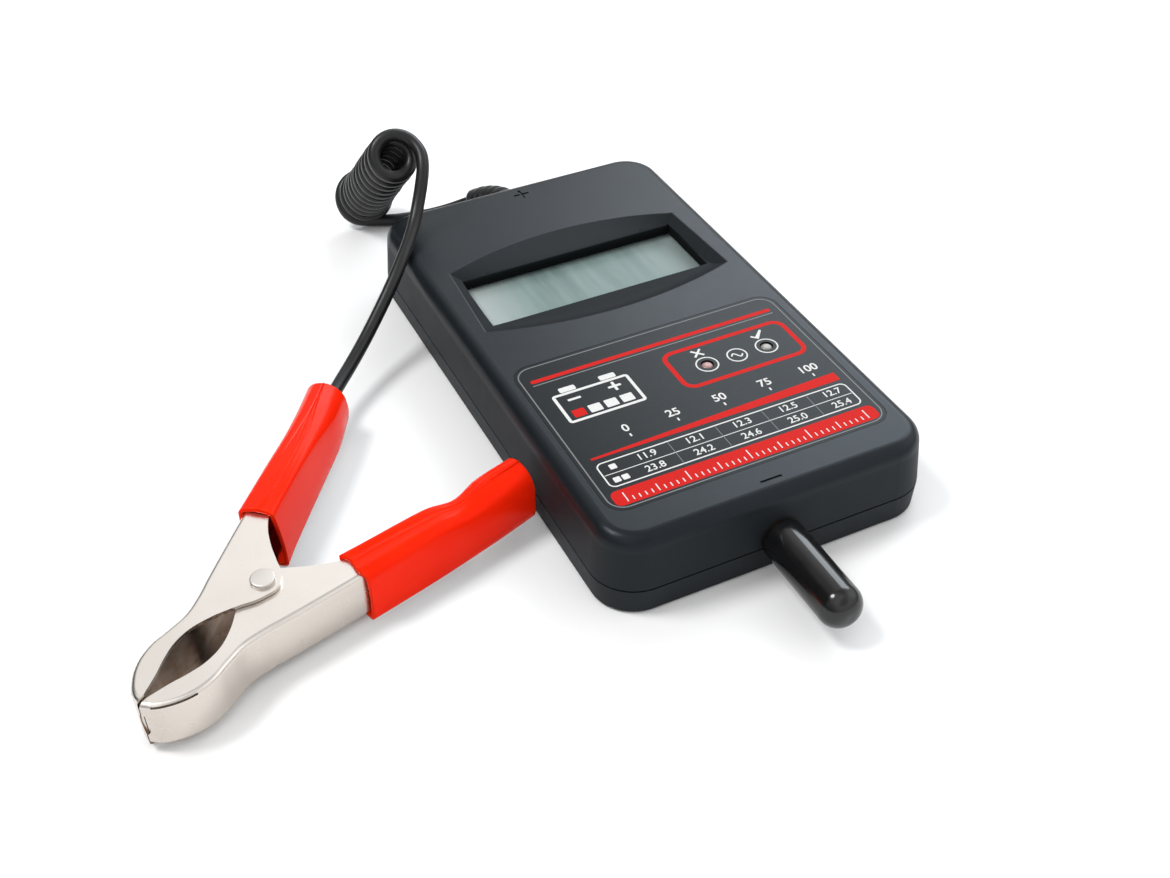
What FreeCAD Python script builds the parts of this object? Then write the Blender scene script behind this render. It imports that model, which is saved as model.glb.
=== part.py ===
import FreeCAD, Part
import math
import os

V = FreeCAD.Vector

# Hand-held battery tester: flat two-part case with a display window, a brass
# probe under a push-on cap at the front, and a curly cord at the back that ends
# in a spring clamp.  Millimetres, +Z up.  Origin: centre of the case's underside.
# +Y towards the cord end, -Y towards the probe, +X to the right.

# ---------------------------------------------------------------- case
CASE_W = 80.0            # width at the seam
CASE_L = 140.0           # length at the seam
CASE_H = 20.4
SEAM_Z = 6.85            # parting line
SEAM_GAP = 0.40          # shadow groove around the parting line
CORNER_R = 10.2
TOP_DRAFT = 1.2          # how far the top edge stands inside the seam
BOTTOM_DRAFT = 0.45
TOP_EDGE_R = 3.2
BOTTOM_EDGE_R = 1.0
WALL = 2.0
TONGUE = 1.0             # width of the lower shell's locating tongue
TONGUE_TOP = 7.85
POST_X, POST_Y = 30.5, 60.5      # case screws
BOARD_POST_X, BOARD_POST_Y = 30.0, 48.6

# display window: arched recess over a deep upright-walled well
WINDOW_Y = 23.97
WINDOW_W, WINDOW_L = 58.8, 20.6
RECESS_FOOT_Z = 18.5
LIP_Z = 15.85
RECESS_BACK_END_Y, RECESS_BACK_MID_Y = 36.3, 42.7
RECESS_FRONT_END_Y, RECESS_FRONT_MID_Y = 9.9, 4.4
RECESS_BACK_X, RECESS_FRONT_X = 31.4, 32.8
RECESS_END_RUN = 2.9     # how far the recess's ends slope inwards
RECESS_EDGE_R = 0.8
SCOOP_R = 12.0           # section radius of the recess's front

# face label in a shallow pocket
LABEL_Y = -33.0
LABEL_W, LABEL_L, LABEL_R = 68.9, 53.1, 4.5
LABEL_T = 0.28
POCKET_D = 0.30
LED_FAIL = (7.5, -24.5)
LED_PASS = (23.2, -24.6)
LED_R = 1.5

# polarity marks sunk in the top face
MARK_LEN, MARK_W, MARK_D = 5.2, 0.7, 0.3
PLUS_LEN = 4.2
MINUS_Y, PLUS_Y = -64.4, 63.0

# ---------------------------------------------------------------- electronics
BOARD_W, BOARD_L, BOARD_T = 67.0, 104.0, 1.6
BOARD_Z = 9.0
LENS = (63.4, 24.6, 0.8)
LCD = (63.0, 24.2, 2.0)

# ---------------------------------------------------------------- probe
PROBE_Z = 8.6
PROBE_R = 3.75
PROBE_SHOULDER_Y = -79.5
PROBE_TIP_Y = -91.0
CAP_R = 4.95
CAP_BORE_R = 3.84
CAP_MOUTH_Y = -70.3
CAP_TIP_Y = -96.0

# ---------------------------------------------------------------- cord
CORD_D = 3.3
CORD_R = CORD_D / 2.0
BOOT_START = V(0, 70.02, 12.0)
BOOT_BEND_R = 24.0
BOOT_BEND_DEG = 45.0
BOOT_R0, BOOT_R1 = 4.35, 3.0
COIL_D = 14.0
COIL_FOOT = V(-32.1, 103.7, 6.0)
COIL_HEAD = V(-32.1, 68.7, 38.0)

# ---------------------------------------------------------------- clamp
PIVOT = V(-102.2, -38.9, 0)
CLAMP_DEG = 33.6          # direction of the clamp's middle line, jaws at the far end
SHEET = 0.8
OUTER_Z = (1.0, 14.2)     # corded arm, side plates outside
INNER_Z = (1.9, 13.3)     # free arm, nested between them
BEND_R = 1.1
HANDLE_LEN = (45.5, 41.0)  # corded arm, free arm
HANDLE_DEG = 17.6
TONGUE_FROM = 27.0         # where the handle's side plates stop
CHANNEL = 5.5
BITE = (2.9, 1.15, 0.55)   # half height, half width and depth of the dimple in the jaws' noses
RIVET_R = 2.0
RIVET_HEAD_R = 2.6
PIN_CLEAR = 0.05
SPRING_WIRE = 1.2
SPRING_R = 3.5
GRIP_T = 0.9

os.makedirs("parts", exist_ok=True)
made = {}


def save(name, shape):
    made[name] = shape
    shape.exportStep("parts/%s.step" % name)


def box(x0, x1, y0, y1, z0, z1):
    return Part.makeBox(x1 - x0, y1 - y0, z1 - z0, V(x0, y0, z0))


def cyl(r, p, axis, h):
    return Part.makeCylinder(r, h, V(*p), V(*axis))


def rrect(w, l, r, z, cx=0.0, cy=0.0):
    """Rounded rectangle wire, w along X and l along Y."""
    x, y, k = w / 2.0, l / 2.0, r * (1 - math.sqrt(0.5))
    P = lambda a, b: V(cx + a, cy + b, z)
    e = [
        Part.LineSegment(P(-x + r, -y), P(x - r, -y)).toShape(),
        Part.Arc(P(x - r, -y), P(x - k, -y + k), P(x, -y + r)).toShape(),
        Part.LineSegment(P(x, -y + r), P(x, y - r)).toShape(),
        Part.Arc(P(x, y - r), P(x - k, y - k), P(x - r, y)).toShape(),
        Part.LineSegment(P(x - r, y), P(-x + r, y)).toShape(),
        Part.Arc(P(-x + r, y), P(-x + k, y - k), P(-x, y - r)).toShape(),
        Part.LineSegment(P(-x, y - r), P(-x, -y + r)).toShape(),
        Part.Arc(P(-x, -y + r), P(-x + k, -y + k), P(-x + r, -y)).toShape(),
    ]
    return Part.Wire(e)


def rprism(w, l, r, z0, z1, cx=0.0, cy=0.0):
    return Part.Face(rrect(w, l, r, z0, cx, cy)).extrude(V(0, 0, z1 - z0))


def prism(wire, h):
    """Closed flat wire raised by h, always with its faces outwards."""
    face = Part.Face(Part.Wire(wire.Edges))
    if face.normalAt(0, 0).z < 0:
        face.reverse()
    return face.extrude(V(0, 0, h))


def edges_at(shape, z, tol=1e-4):
    return [e for e in shape.Edges
            if abs(e.BoundBox.ZMin - z) < tol and abs(e.BoundBox.ZMax - z) < tol]


def tube(points, r, report=None):
    """Round tube along straight runs joined by tangent arcs."""
    pts = [V(*p) for p in points]
    n = len(pts)
    radii, cuts = [], [0.0]
    for i in range(1, n - 1):
        a, b = pts[i] - pts[i - 1], pts[i + 1] - pts[i]
        turn = a.getAngle(b)
        cut = 0.45 * min(a.Length, b.Length)
        radii.append(cut / math.tan(turn / 2.0))
        cuts.append(cut)
    cuts.append(0.0)
    edges, here, length = [], pts[0], 0.0
    for i in range(1, n - 1):
        a = (pts[i] - pts[i - 1]).normalize()
        b = (pts[i + 1] - pts[i]).normalize()
        s = pts[i] - a * cuts[i]
        e = pts[i] + b * cuts[i]
        R = radii[i - 1]
        half = a.getAngle(b) / 2.0
        bis = (b - a).normalize()
        centre = pts[i] + bis * (R / math.cos(half))
        m = centre - bis * R
        edges.append(Part.LineSegment(here, s).toShape())
        edges.append(Part.Arc(s, m, e).toShape())
        here = e
    edges.append(Part.LineSegment(here, pts[-1]).toShape())
    wire = Part.Wire(edges)
    d = (pts[1] - pts[0]).normalize()
    ring = Part.Wire(Part.makeCircle(r, pts[0], d))
    solid = wire.makePipeShell([ring], True, False)
    if report:
        length = wire.Length
        print("%s: length %.1f  least radius %.1f  volume %.2f against %.2f" % (
            report, length, min(radii), solid.Volume, math.pi * r * r * length))
        print("   radii", " ".join("%.1f" % q for q in radii))
    return solid


# ================================================================ case shells
def case_section(z, inset=0.0):
    if z >= SEAM_Z:
        d = TOP_DRAFT * (z - SEAM_Z) / (CASE_H - SEAM_Z)
    else:
        d = BOTTOM_DRAFT * (SEAM_Z - z) / SEAM_Z
    k = d + inset
    return rrect(CASE_W - 2 * k, CASE_L - 2 * k, CORNER_R - k, z)


def case_loft(z0, z1, inset=0.0):
    return Part.makeLoft([case_section(z0, inset), case_section(z1, inset)], True, True)


Z_UP = SEAM_Z + SEAM_GAP / 2.0
Z_LOW = SEAM_Z - SEAM_GAP / 2.0

upper = case_loft(Z_UP, CASE_H)
upper = upper.makeFillet(TOP_EDGE_R, edges_at(upper, CASE_H))
upper = upper.cut(case_loft(Z_UP - 0.01, CASE_H - WALL, WALL))
upper = upper.cut(case_loft(Z_UP - 0.02, TONGUE_TOP, WALL - TONGUE - 0.1))
# thicker floor around the window, then the arched recess
upper = upper.fuse(box(-35.2, 35.2, 1.5, 45.6, LIP_Z, CASE_H - WALL + 0.05))


RISE = CASE_H - RECESS_FOOT_Z
# the front rim is an arc about one upright axis; the scoop is round in section
sag = RECESS_FRONT_END_Y - RECESS_FRONT_MID_Y
RIM_R = (RECESS_FRONT_X ** 2 + sag ** 2) / (2 * sag)
AXIS_Y = RECESS_FRONT_MID_Y + RIM_R
SCOOP_RUN = math.sqrt(SCOOP_R ** 2 - (SCOOP_R - RISE) ** 2)


def beyond(point, normal):
    """Large block on the far side of a plane."""
    n = V(*normal)
    b = Part.makeBox(160, 160, 160, V(-80, -80, 0))
    b.Placement = FreeCAD.Placement(V(*point), FreeCAD.Rotation(V(0, 0, 1), n))
    return b


OVER = CASE_H + 0.6
# room between the two sloped ends
room = box(-40, 40, 2, 60, RECESS_FOOT_Z, OVER)
lean = (RECESS_BACK_X - RECESS_FRONT_X) / (RECESS_BACK_END_Y - RECESS_FRONT_END_Y)
for side in (-1, 1):
    room = room.cut(beyond((side * RECESS_BACK_X, RECESS_BACK_END_Y, CASE_H), (side, -lean, -RECESS_END_RUN / RISE)))
# the back slopes from a straight foot up to an arched rim
back_foot = WINDOW_Y + WINDOW_L / 2.0 + 0.02
drop = RECESS_BACK_MID_Y - RECESS_BACK_END_Y
ARCH_R = (RECESS_BACK_X ** 2 + drop ** 2) / (2 * drop)
arch_y = lambda x: RECESS_BACK_MID_Y - ARCH_R + math.sqrt(ARCH_R ** 2 - x * x)
wires = []
for z in (RECESS_FOOT_Z, OVER):
    k = (z - RECESS_FOOT_Z) / RISE
    at = lambda x: back_foot + (arch_y(x) - back_foot) * k
    front = Part.LineSegment(V(-45, back_foot, z), V(45, back_foot, z)) if k == 0 else Part.Arc(
        V(-45, at(45), z), V(0, at(0), z), V(45, at(45), z))
    wires.append(Part.Wire([front.toShape(), Part.LineSegment(front.EndPoint, V(45, 70, z)).toShape(),
                            Part.LineSegment(V(45, 70, z), V(-45, 70, z)).toShape(),
                            Part.LineSegment(V(-45, 70, z), front.StartPoint).toShape()]))
behind = Part.makeLoft(wires, True, True)
r0 = RIM_R - SCOOP_RUN
turn = lambda r, z: V(0, AXIS_Y - r, z)
mid = math.asin(SCOOP_RUN / SCOOP_R) / 2.0
lead = math.asin(SCOOP_RUN / SCOOP_R)
past = 0.62
section = Part.Wire([
    Part.Arc(turn(r0, RECESS_FOOT_Z), turn(r0 + SCOOP_R * math.sin(mid), RECESS_FOOT_Z + SCOOP_R * (1 - math.cos(mid))),
             turn(RIM_R, CASE_H)).toShape(),
    Part.LineSegment(turn(RIM_R, CASE_H), turn(RIM_R + past / math.tan(lead), CASE_H + past)).toShape(),
    Part.LineSegment(turn(RIM_R + past / math.tan(lead), CASE_H + past), turn(r0 - 8, CASE_H + past)).toShape(),
    Part.LineSegment(turn(r0 - 8, CASE_H + past), turn(r0 - 8, RECESS_FOOT_Z)).toShape(),
    Part.LineSegment(turn(r0 - 8, RECESS_FOOT_Z), turn(r0, RECESS_FOOT_Z)).toShape(),
])
scoop = Part.Face(section)
scoop.rotate(V(0, AXIS_Y, 0), V(0, 0, 1), -26)
scoop = scoop.revolve(V(0, AXIS_Y, 0), V(0, 0, 1), 52)
recess = room.cut(behind).cut(box(-50, 50, -10, 16, RECESS_FOOT_Z - 1, OVER + 1))
recess = recess.fuse(room.common(scoop)).removeSplitter()
upper = upper.cut(recess)
upper = upper.cut(box(-WINDOW_W / 2, WINDOW_W / 2, WINDOW_Y - WINDOW_L / 2, WINDOW_Y + WINDOW_L / 2,
                      LIP_Z - 1, RECESS_FOOT_Z + 0.3))
# soften the recess's upper rim
rim = [e for e in edges_at(upper, CASE_H)
       if 3.0 < e.BoundBox.YMin and e.BoundBox.YMax < 44.0 and abs(e.BoundBox.XMin) < 34.0]
upper = upper.makeFillet(RECESS_EDGE_R, rim)
# label pocket, lamp holes and polarity marks
upper = upper.cut(rprism(LABEL_W, LABEL_L, LABEL_R, CASE_H - POCKET_D, CASE_H + 1, 0, LABEL_Y))
for x, y in (LED_FAIL, LED_PASS):
    upper = upper.cut(cyl(LED_R + 0.1, (x, y, CASE_H - WALL - 1), (0, 0, 1), 5))
for y, upright in ((MINUS_Y, False), (PLUS_Y, True)):
    h = (PLUS_LEN if upright else MARK_LEN) / 2.0
    upper = upper.cut(box(-h, h, y - MARK_W / 2, y + MARK_W / 2, CASE_H - MARK_D, CASE_H + 1))
    if upright:
        upper = upper.cut(box(-MARK_W / 2, MARK_W / 2, y - h, y + h, CASE_H - MARK_D, CASE_H + 1))
# posts for the case screws and the board screws
CEIL = CASE_H - WALL
for sx in (-1, 1):
    for sy in (-1, 1):
        p = cyl(3.4, (sx * POST_X, sy * POST_Y, 6.2), (0, 0, 1), CEIL - 6.2 + 0.05)
        upper = upper.fuse(p)
        upper = upper.cut(cyl(1.5, (sx * POST_X, sy * POST_Y, 6.0), (0, 0, 1), 8.5))
        p = cyl(2.8, (sx * BOARD_POST_X, sy * BOARD_POST_Y, BOARD_Z + BOARD_T), (0, 0, 1),
                CEIL - BOARD_Z - BOARD_T + 0.05)
        upper = upper.fuse(p)
        upper = upper.cut(cyl(1.0, (sx * BOARD_POST_X, sy * BOARD_POST_Y, BOARD_Z), (0, 0, 1), 7.4))

lower = case_loft(0.0, Z_LOW)
lower = lower.makeFillet(BOTTOM_EDGE_R, edges_at(lower, 0.0))
lower = lower.cut(case_loft(WALL, Z_LOW + 0.01, WALL))
tongue = case_loft(Z_LOW - 0.5, TONGUE_TOP, WALL - TONGUE).cut(case_loft(Z_LOW - 0.6, TONGUE_TOP + 0.1, WALL))
lower = lower.fuse(tongue)
for sx in (-1, 1):
    for sy in (-1, 1):
        lower = lower.fuse(cyl(4.4, (sx * POST_X, sy * POST_Y, WALL - 0.1), (0, 0, 1), 6.2 - WALL + 0.1))
        lower = lower.cut(cyl(3.1, (sx * POST_X, sy * POST_Y, -1), (0, 0, 1), 4.6))
        lower = lower.cut(cyl(1.7, (sx * POST_X, sy * POST_Y, -1), (0, 0, 1), 9))
# board supports: three low ribs across the floor
for y in (-30.0, 0.0, 30.0):
    lower = lower.fuse(box(-26, 26, y - 0.7, y + 0.7, WALL - 0.1, 7.2))

# probe opening, shared by both shells, and the cord opening in the upper shell
probe_hole = cyl(PROBE_R + 0.05, (0, -80, PROBE_Z), (0, 1, 0), 16)
upper = upper.cut(probe_hole)
lower = lower.cut(probe_hole)
upper = upper.cut(cyl(4.0, (0, 60, BOOT_START.z), (0, 1, 0), 20))
save("upper_shell", upper.removeSplitter())
save("lower_shell", lower.removeSplitter())

# case screws: pan heads up in the counterbores, cross recess in the head
screws = []
for sx in (-1, 1):
    for sy in (-1, 1):
        x, y = sx * POST_X, sy * POST_Y
        s = cyl(1.45, (x, y, 3.6), (0, 0, 1), 9.6)
        hd = cyl(2.75, (x, y, 1.4), (0, 0, 1), 2.2)
        hd = hd.makeFillet(0.7, edges_at(hd, 1.4))
        s = s.fuse(hd)
        for a, b in ((1.7, 0.35), (0.35, 1.7)):
            s = s.cut(box(x - a, x + a, y - b, y + b, 1.3, 2.5))
        screws.append(s)
save("case_screws", Part.makeCompound(screws))

# ================================================================ label and display
label = rprism(LABEL_W - 0.2, LABEL_L - 0.2, LABEL_R - 0.1, CASE_H - POCKET_D, CASE_H - POCKET_D + LABEL_T, 0, LABEL_Y)
for x, y in (LED_FAIL, LED_PASS):
    label = label.cut(cyl(LED_R + 0.05, (x, y, CASE_H - 2), (0, 0, 1), 4))
save("face_label", label)

lens = rprism(LENS[0], LENS[1], 0.8, LIP_Z - LENS[2], LIP_Z, 0, WINDOW_Y)
save("display_lens", lens)
lcd_top = LIP_Z - LENS[2] - 0.05
lcd = box(-LCD[0] / 2, LCD[0] / 2, WINDOW_Y - LCD[1] / 2, WINDOW_Y + LCD[1] / 2, lcd_top - LCD[2] / 2, lcd_top)
lcd = lcd.fuse(box(-LCD[0] / 2, LCD[0] / 2, WINDOW_Y - LCD[1] / 2 - 0.0, WINDOW_Y + LCD[1] / 2 - 1.6,
                   lcd_top - LCD[2], lcd_top - LCD[2] / 2))
save("lcd_panel", lcd.removeSplitter())
BOARD_TOP = BOARD_Z + BOARD_T
frame = rprism(LENS[0] + 3.4, LENS[1] + 3.8, 1.5, BOARD_TOP, LIP_Z, 0, WINDOW_Y)
frame = frame.cut(rprism(LENS[0] + 0.4, LENS[1] + 0.4, 0.9, BOARD_TOP - 1, LIP_Z + 1, 0, WINDOW_Y))
save("lcd_frame", frame)
strips = []
for dy in (-LCD[1] / 2 + 1.7, LCD[1] / 2 - 3.4):
    strips.append(box(-28, 28, WINDOW_Y + dy - 1.1, WINDOW_Y + dy + 1.1, BOARD_TOP, lcd_top - LCD[2]))
save("lcd_contact_strips", Part.makeCompound(strips))

# ================================================================ circuit board
board = rprism(BOARD_W, BOARD_L, 1.5, BOARD_Z, BOARD_TOP)
for sx in (-1, 1):
    for sy in (-1, 1):
        board = board.cut(cyl(1.15, (sx * BOARD_POST_X, sy * BOARD_POST_Y, BOARD_Z - 1), (0, 0, 1), 4))
for x, y in (LED_FAIL, LED_PASS):
    for dx in (-1.27, 1.27):
        board = board.cut(cyl(0.4, (x + dx, y, BOARD_Z - 1), (0, 0, 1), 4))
save("circuit_board", board)

bs = []
for sx in (-1, 1):
    for sy in (-1, 1):
        x, y = sx * BOARD_POST_X, sy * BOARD_POST_Y
        s = cyl(0.95, (x, y, BOARD_Z - 0.1), (0, 0, 1), 6.6)
        hd = cyl(2.0, (x, y, BOARD_Z - 1.4), (0, 0, 1), 1.4)
        hd = hd.makeFillet(0.5, edges_at(hd, BOARD_Z - 1.4))
        s = s.fuse(hd).cut(box(x - 1.3, x + 1.3, y - 0.25, y + 0.25, BOARD_Z - 1.6, BOARD_Z - 0.9))
        bs.append(s)
save("board_screws", Part.makeCompound(bs))

chip = box(-6, 6, -12.0, 0.0, BOARD_TOP + 0.15, BOARD_TOP + 1.75)
chip = chip.makeChamfer(0.25, edges_at(chip, BOARD_TOP + 1.75))
chip = chip.cut(cyl(0.5, (-4.6, -10.6, BOARD_TOP + 1.5), (0, 0, 1), 1))
legs = []
for i in range(11):
    q = -5.0 + i
    for x0, x1 in ((-7.2, -5.9), (5.9, 7.2)):
        legs.append(box(x0, x1, -6 + q - 0.2, -6 + q + 0.2, BOARD_TOP + 0.0, BOARD_TOP + 0.35))
for lg in legs:
    chip = chip.fuse(lg)
save("controller_chip", chip)

reg = box(-22.2, -17.8, -8.2, -5.6, BOARD_TOP, BOARD_TOP + 1.5)
reg = reg.makeChamfer(0.2, edges_at(reg, BOARD_TOP + 1.5))
reg = reg.fuse(box(-21.0, -19.0, -5.7, -4.2, BOARD_TOP, BOARD_TOP + 0.4))
for x in (-21.5, -20.0, -18.5):
    reg = reg.fuse(box(x - 0.3, x + 0.3, -9.4, -8.1, BOARD_TOP, BOARD_TOP + 0.4))
save("voltage_regulator", reg)

caps = []
for x, y in ((-22.0, -22.0), (-14.0, -22.0)):
    c = cyl(2.5, (x, y, BOARD_TOP), (0, 0, 1), 6.0)
    c = c.makeFillet(0.4, edges_at(c, BOARD_TOP + 6.0))
    c = c.cut(box(x - 1.5, x + 1.5, y - 0.1, y + 0.1, BOARD_TOP + 5.8, BOARD_TOP + 7))
    c = c.cut(box(x - 0.1, x + 0.1, y - 1.5, y + 1.5, BOARD_TOP + 5.8, BOARD_TOP + 7))
    caps.append(c)
save("board_capacitors", Part.makeCompound(caps))

res = []
for i in range(9):
    x = -24.0 + 6.0 * i
    y = -36.0 if i % 2 else -40.0
    b = box(x - 1.0, x + 1.0, y - 0.62, y + 0.62, BOARD_TOP, BOARD_TOP + 0.55)
    res.append(b.makeChamfer(0.1, edges_at(b, BOARD_TOP + 0.55)))
save("board_resistors", Part.makeCompound(res))

dio = cyl(1.3, (14.0, -8.0, BOARD_TOP + 1.4), (0, 1, 0), 5.0)
for y0, y1 in ((-10.4, -7.9), (-3.1, -0.6)):
    dio = dio.fuse(cyl(0.4, (14.0, y0, BOARD_TOP + 1.4), (0, 1, 0), y1 - y0))
for y in (-10.2, -0.8):
    dio = dio.fuse(cyl(0.4, (14.0, y, BOARD_TOP), (0, 0, 1), 1.6))
save("protection_diode", dio)

trim = box(20.0, 26.5, -8.0, -1.5, BOARD_TOP, BOARD_TOP + 3.6)
trim = trim.makeChamfer(0.4, edges_at(trim, BOARD_TOP + 3.6))
trim = trim.fuse(cyl(1.9, (23.25, -4.75, BOARD_TOP + 3.5), (0, 0, 1), 0.7))
trim = trim.cut(box(21.5, 25.0, -5.0, -4.5, BOARD_TOP + 3.7, BOARD_TOP + 5))
save("calibration_trimmer", trim)

for name, (x, y) in (("fail_lamp", LED_FAIL), ("pass_lamp", LED_PASS)):
    top = CASE_H - 0.08
    body = cyl(LED_R, (x, y, top - 5.0), (0, 0, 1), 5.0)
    body = body.makeFillet(0.9, edges_at(body, top))
    body = body.fuse(cyl(1.9, (x, y, top - 5.0), (0, 0, 1), 1.0))
    for dx in (-1.27, 1.27):
        body = body.fuse(cyl(0.25, (x + dx, y, BOARD_Z - 0.8), (0, 0, 1), top - 5.0 - BOARD_Z + 0.9))
    save(name, body)

# ================================================================ probe and cap
pin = cyl(PROBE_R, (0, PROBE_SHOULDER_Y, PROBE_Z), (0, 1, 0), -67.4 - PROBE_SHOULDER_Y)
nose = Part.makeCone(PROBE_R, 0.45, PROBE_SHOULDER_Y - PROBE_TIP_Y, V(0, PROBE_SHOULDER_Y, PROBE_Z), V(0, -1, 0))
nose = nose.makeFillet(0.3, [e for e in nose.Edges if e.BoundBox.YMax < PROBE_TIP_Y + 0.01])
pin = pin.fuse(nose)
pin = pin.fuse(cyl(4.9, (0, -67.4, PROBE_Z), (0, 1, 0), 1.4))
pin = pin.fuse(cyl(2.0, (0, -66.1, PROBE_Z), (0, 1, 0), 6.6))
save("probe_pin", pin.removeSplitter())

lug = cyl(3.5, (0, -66.0, PROBE_Z), (0, 1, 0), 0.7)
lug = lug.fuse(box(0, 7.4, -66.0, -65.3, PROBE_Z - 1.3, PROBE_Z + 1.3))
lug = lug.cut(cyl(2.05, (0, -67, PROBE_Z), (0, 1, 0), 3))
save("probe_terminal", lug)
hexa = Part.makePolygon([V(3.7 * math.cos(math.radians(60 * i)), -65.3, PROBE_Z + 3.7 * math.sin(math.radians(60 * i)))
                         for i in range(7)])
nut = Part.Face(Part.Wire(hexa)).extrude(V(0, 2.6, 0)).cut(cyl(2.05, (0, -67, PROBE_Z), (0, 1, 0), 6))
save("probe_nut", nut)
wire_pts = [(6.3, -65.3, PROBE_Z), (6.3, -61.0, PROBE_Z + 0.3), (6.3, -56.5, 11.0), (6.3, -52.0, 12.2), (6.3, -47.0, BOARD_TOP + 0.9)]
save("probe_wire", tube(wire_pts, 0.8))

cap = cyl(CAP_R, (0, CAP_TIP_Y, PROBE_Z), (0, 1, 0), CAP_MOUTH_Y - CAP_TIP_Y)
cap = cap.makeFillet(4.2, [e for e in cap.Edges if abs(e.BoundBox.YMin - CAP_TIP_Y) < 1e-3 and e.BoundBox.YLength < 1e-3])
cap = cap.makeFillet(0.4, [e for e in cap.Edges if abs(e.BoundBox.YMin - CAP_MOUTH_Y) < 1e-3 and e.BoundBox.YLength < 1e-3])
cap = cap.cut(cyl(CAP_BORE_R, (0, -92.4, PROBE_Z), (0, 1, 0), 30))
save("probe_cap", cap)

# ================================================================ strain relief
bend = V(-0.7, 0, -math.sqrt(1 - 0.49))
total = BOOT_BEND_R * math.radians(BOOT_BEND_DEG)


def boot_frame(s):
    a = s / BOOT_BEND_R
    p = BOOT_START + V(0, 1, 0) * (BOOT_BEND_R * math.sin(a)) + bend * (BOOT_BEND_R * (1 - math.cos(a)))
    d = V(0, 1, 0) * math.cos(a) + bend * math.sin(a)
    return p, d


stations = [(0.0, 0.0), (1.6, 0.0)]
s = 2.1
while s < total - 2.2:
    stations += [(s, 1.0), (s + 0.9, 1.0), (s + 1.3, 0.0), (s + 2.3, 0.0)]
    s += 2.7
stations += [(total - 0.5, 0.0), (total, 0.25)]
rings = []
for s, groove in stations:
    p, d = boot_frame(s)
    r = BOOT_R0 + (BOOT_R1 - BOOT_R0) * s / total - 0.75 * groove
    rings.append(Part.Wire(Part.makeCircle(r, p, d)))
boot = Part.makeLoft(rings, True, True)
boot = boot.fuse(cyl(3.95, (0, 66.9, BOOT_START.z), (0, 1, 0), 3.2))
boot = boot.fuse(cyl(5.2, (0, 65.2, BOOT_START.z), (0, 1, 0), 1.8))
save("strain_relief", boot.removeSplitter())
boot_end, boot_dir = boot_frame(total)

# ================================================================ cord
save("cord_inner", cyl(CORD_R, (0, 53.2, BOOT_START.z), (0, 1, 0), 65.2 - 53.2))
core = cyl(0.55, (0, 46.5, BOARD_TOP + 0.6), (0, 1, 0), 6.7)
core = core.fuse(cyl(0.55, (0, 52.65, BOARD_TOP + 0.6), (0, 0, 1), BOOT_START.z - BOARD_TOP - 0.6))
core = core.fuse(cyl(0.55, (0, 52.65, BOOT_START.z), (0, 1, 0), 0.55))
save("cord_core", core)

b = boot_end + boot_dir * 8.0
TAIL = [tuple(boot_end), (b.x, b.y, 3.0), (-17.0, 95.6, 1.9), (-25.4, 95.9, 1.7), (-32.0, 98.9, 2.2)]
tail = tube(TAIL, CORD_R, "cord_tail")
save("cord_tail", tail)

axis = COIL_HEAD - COIL_FOOT
coil = Part.makeCylinder(COIL_D / 2, axis.Length, COIL_FOOT, axis)
save("cord_coil", coil)
print("coil length %.1f" % axis.Length)

# clamp frame: u along the middle line (handles at +u), v to its left
ca, sa = math.cos(math.radians(CLAMP_DEG)), math.sin(math.radians(CLAMP_DEG))


def W(u, v, z=0.0):
    return V(PIVOT.x + u * ca - v * sa, PIVOT.y + u * sa + v * ca, z)


H0 = (10.9, 15.8)
hd = (math.cos(math.radians(HANDLE_DEG)), math.sin(math.radians(HANDLE_DEG)))


def handle(s, off, side=1):
    """Point on a handle: s along its back from H0, off outwards."""
    return (H0[0] + hd[0] * s - hd[1] * off, side * (H0[1] + hd[1] * s + hd[0] * off))


CRIMP_OFF, CRIMP_Z = -3.15, 7.6
c0 = W(*handle(38.5, CRIMP_OFF), CRIMP_Z)
c1 = W(*handle(44.5, CRIMP_OFF), CRIMP_Z)
LEAD = [(-26.9, 68.4, 37.3), (-26.9, 63.4, 33.4), (-29.4, 60.2, 29.6), (-32.1, 56.9, 26.6), (-35.4, 53.2, 24.3),
        (-39.2, 49.0, 23.0), (-44.9, 43.1, 20.6), (-50.4, 37.6, 16.9), (-55.8, 32.4, 13.2), (-61.2, 26.4, 9.8),
        (-66.0, 20.0, 7.9), tuple(W(*handle(43.0, CRIMP_OFF), CRIMP_Z)), tuple(c0)]
lead = tube(LEAD, CORD_R, "cord_lead")
save("cord_lead", lead)
d = c1 - c0
crimp = Part.makeCylinder(2.3, d.Length, c0, d).cut(Part.makeCylinder(CORD_R, d.Length + 2, c0 - d.normalize(), d))
save("lead_crimp", crimp)

# ================================================================ clamp arms
OUT = [(-35.6, 0.15), (-34.7, 2.3), (-32.0, 5.1), (-28.0, 7.3), (-23.8, 8.1), (-19.2, 7.75), (-14.6, 7.6),
       (-10.0, 8.7), (-5.0, 10.5), (1.0, 12.55), H0]
INN = [(16.3, 11.9), (11.9, 8.7), (8.4, 4.9), (5.9, 1.5), (3.4, -1.9), (0.0, -3.8), (-3.6, -2.9),
       (-8.8, 0.3), (-13.0, 2.5), (-17.6, 3.9), (-21.5, 3.9), (-25.4, 2.9), (-28.8, 1.6), (-31.4, 0.8), (-33.6, 0.15)]


def unit(a):
    n = math.hypot(*a)
    return (a[0] / n, a[1] / n)


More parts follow.
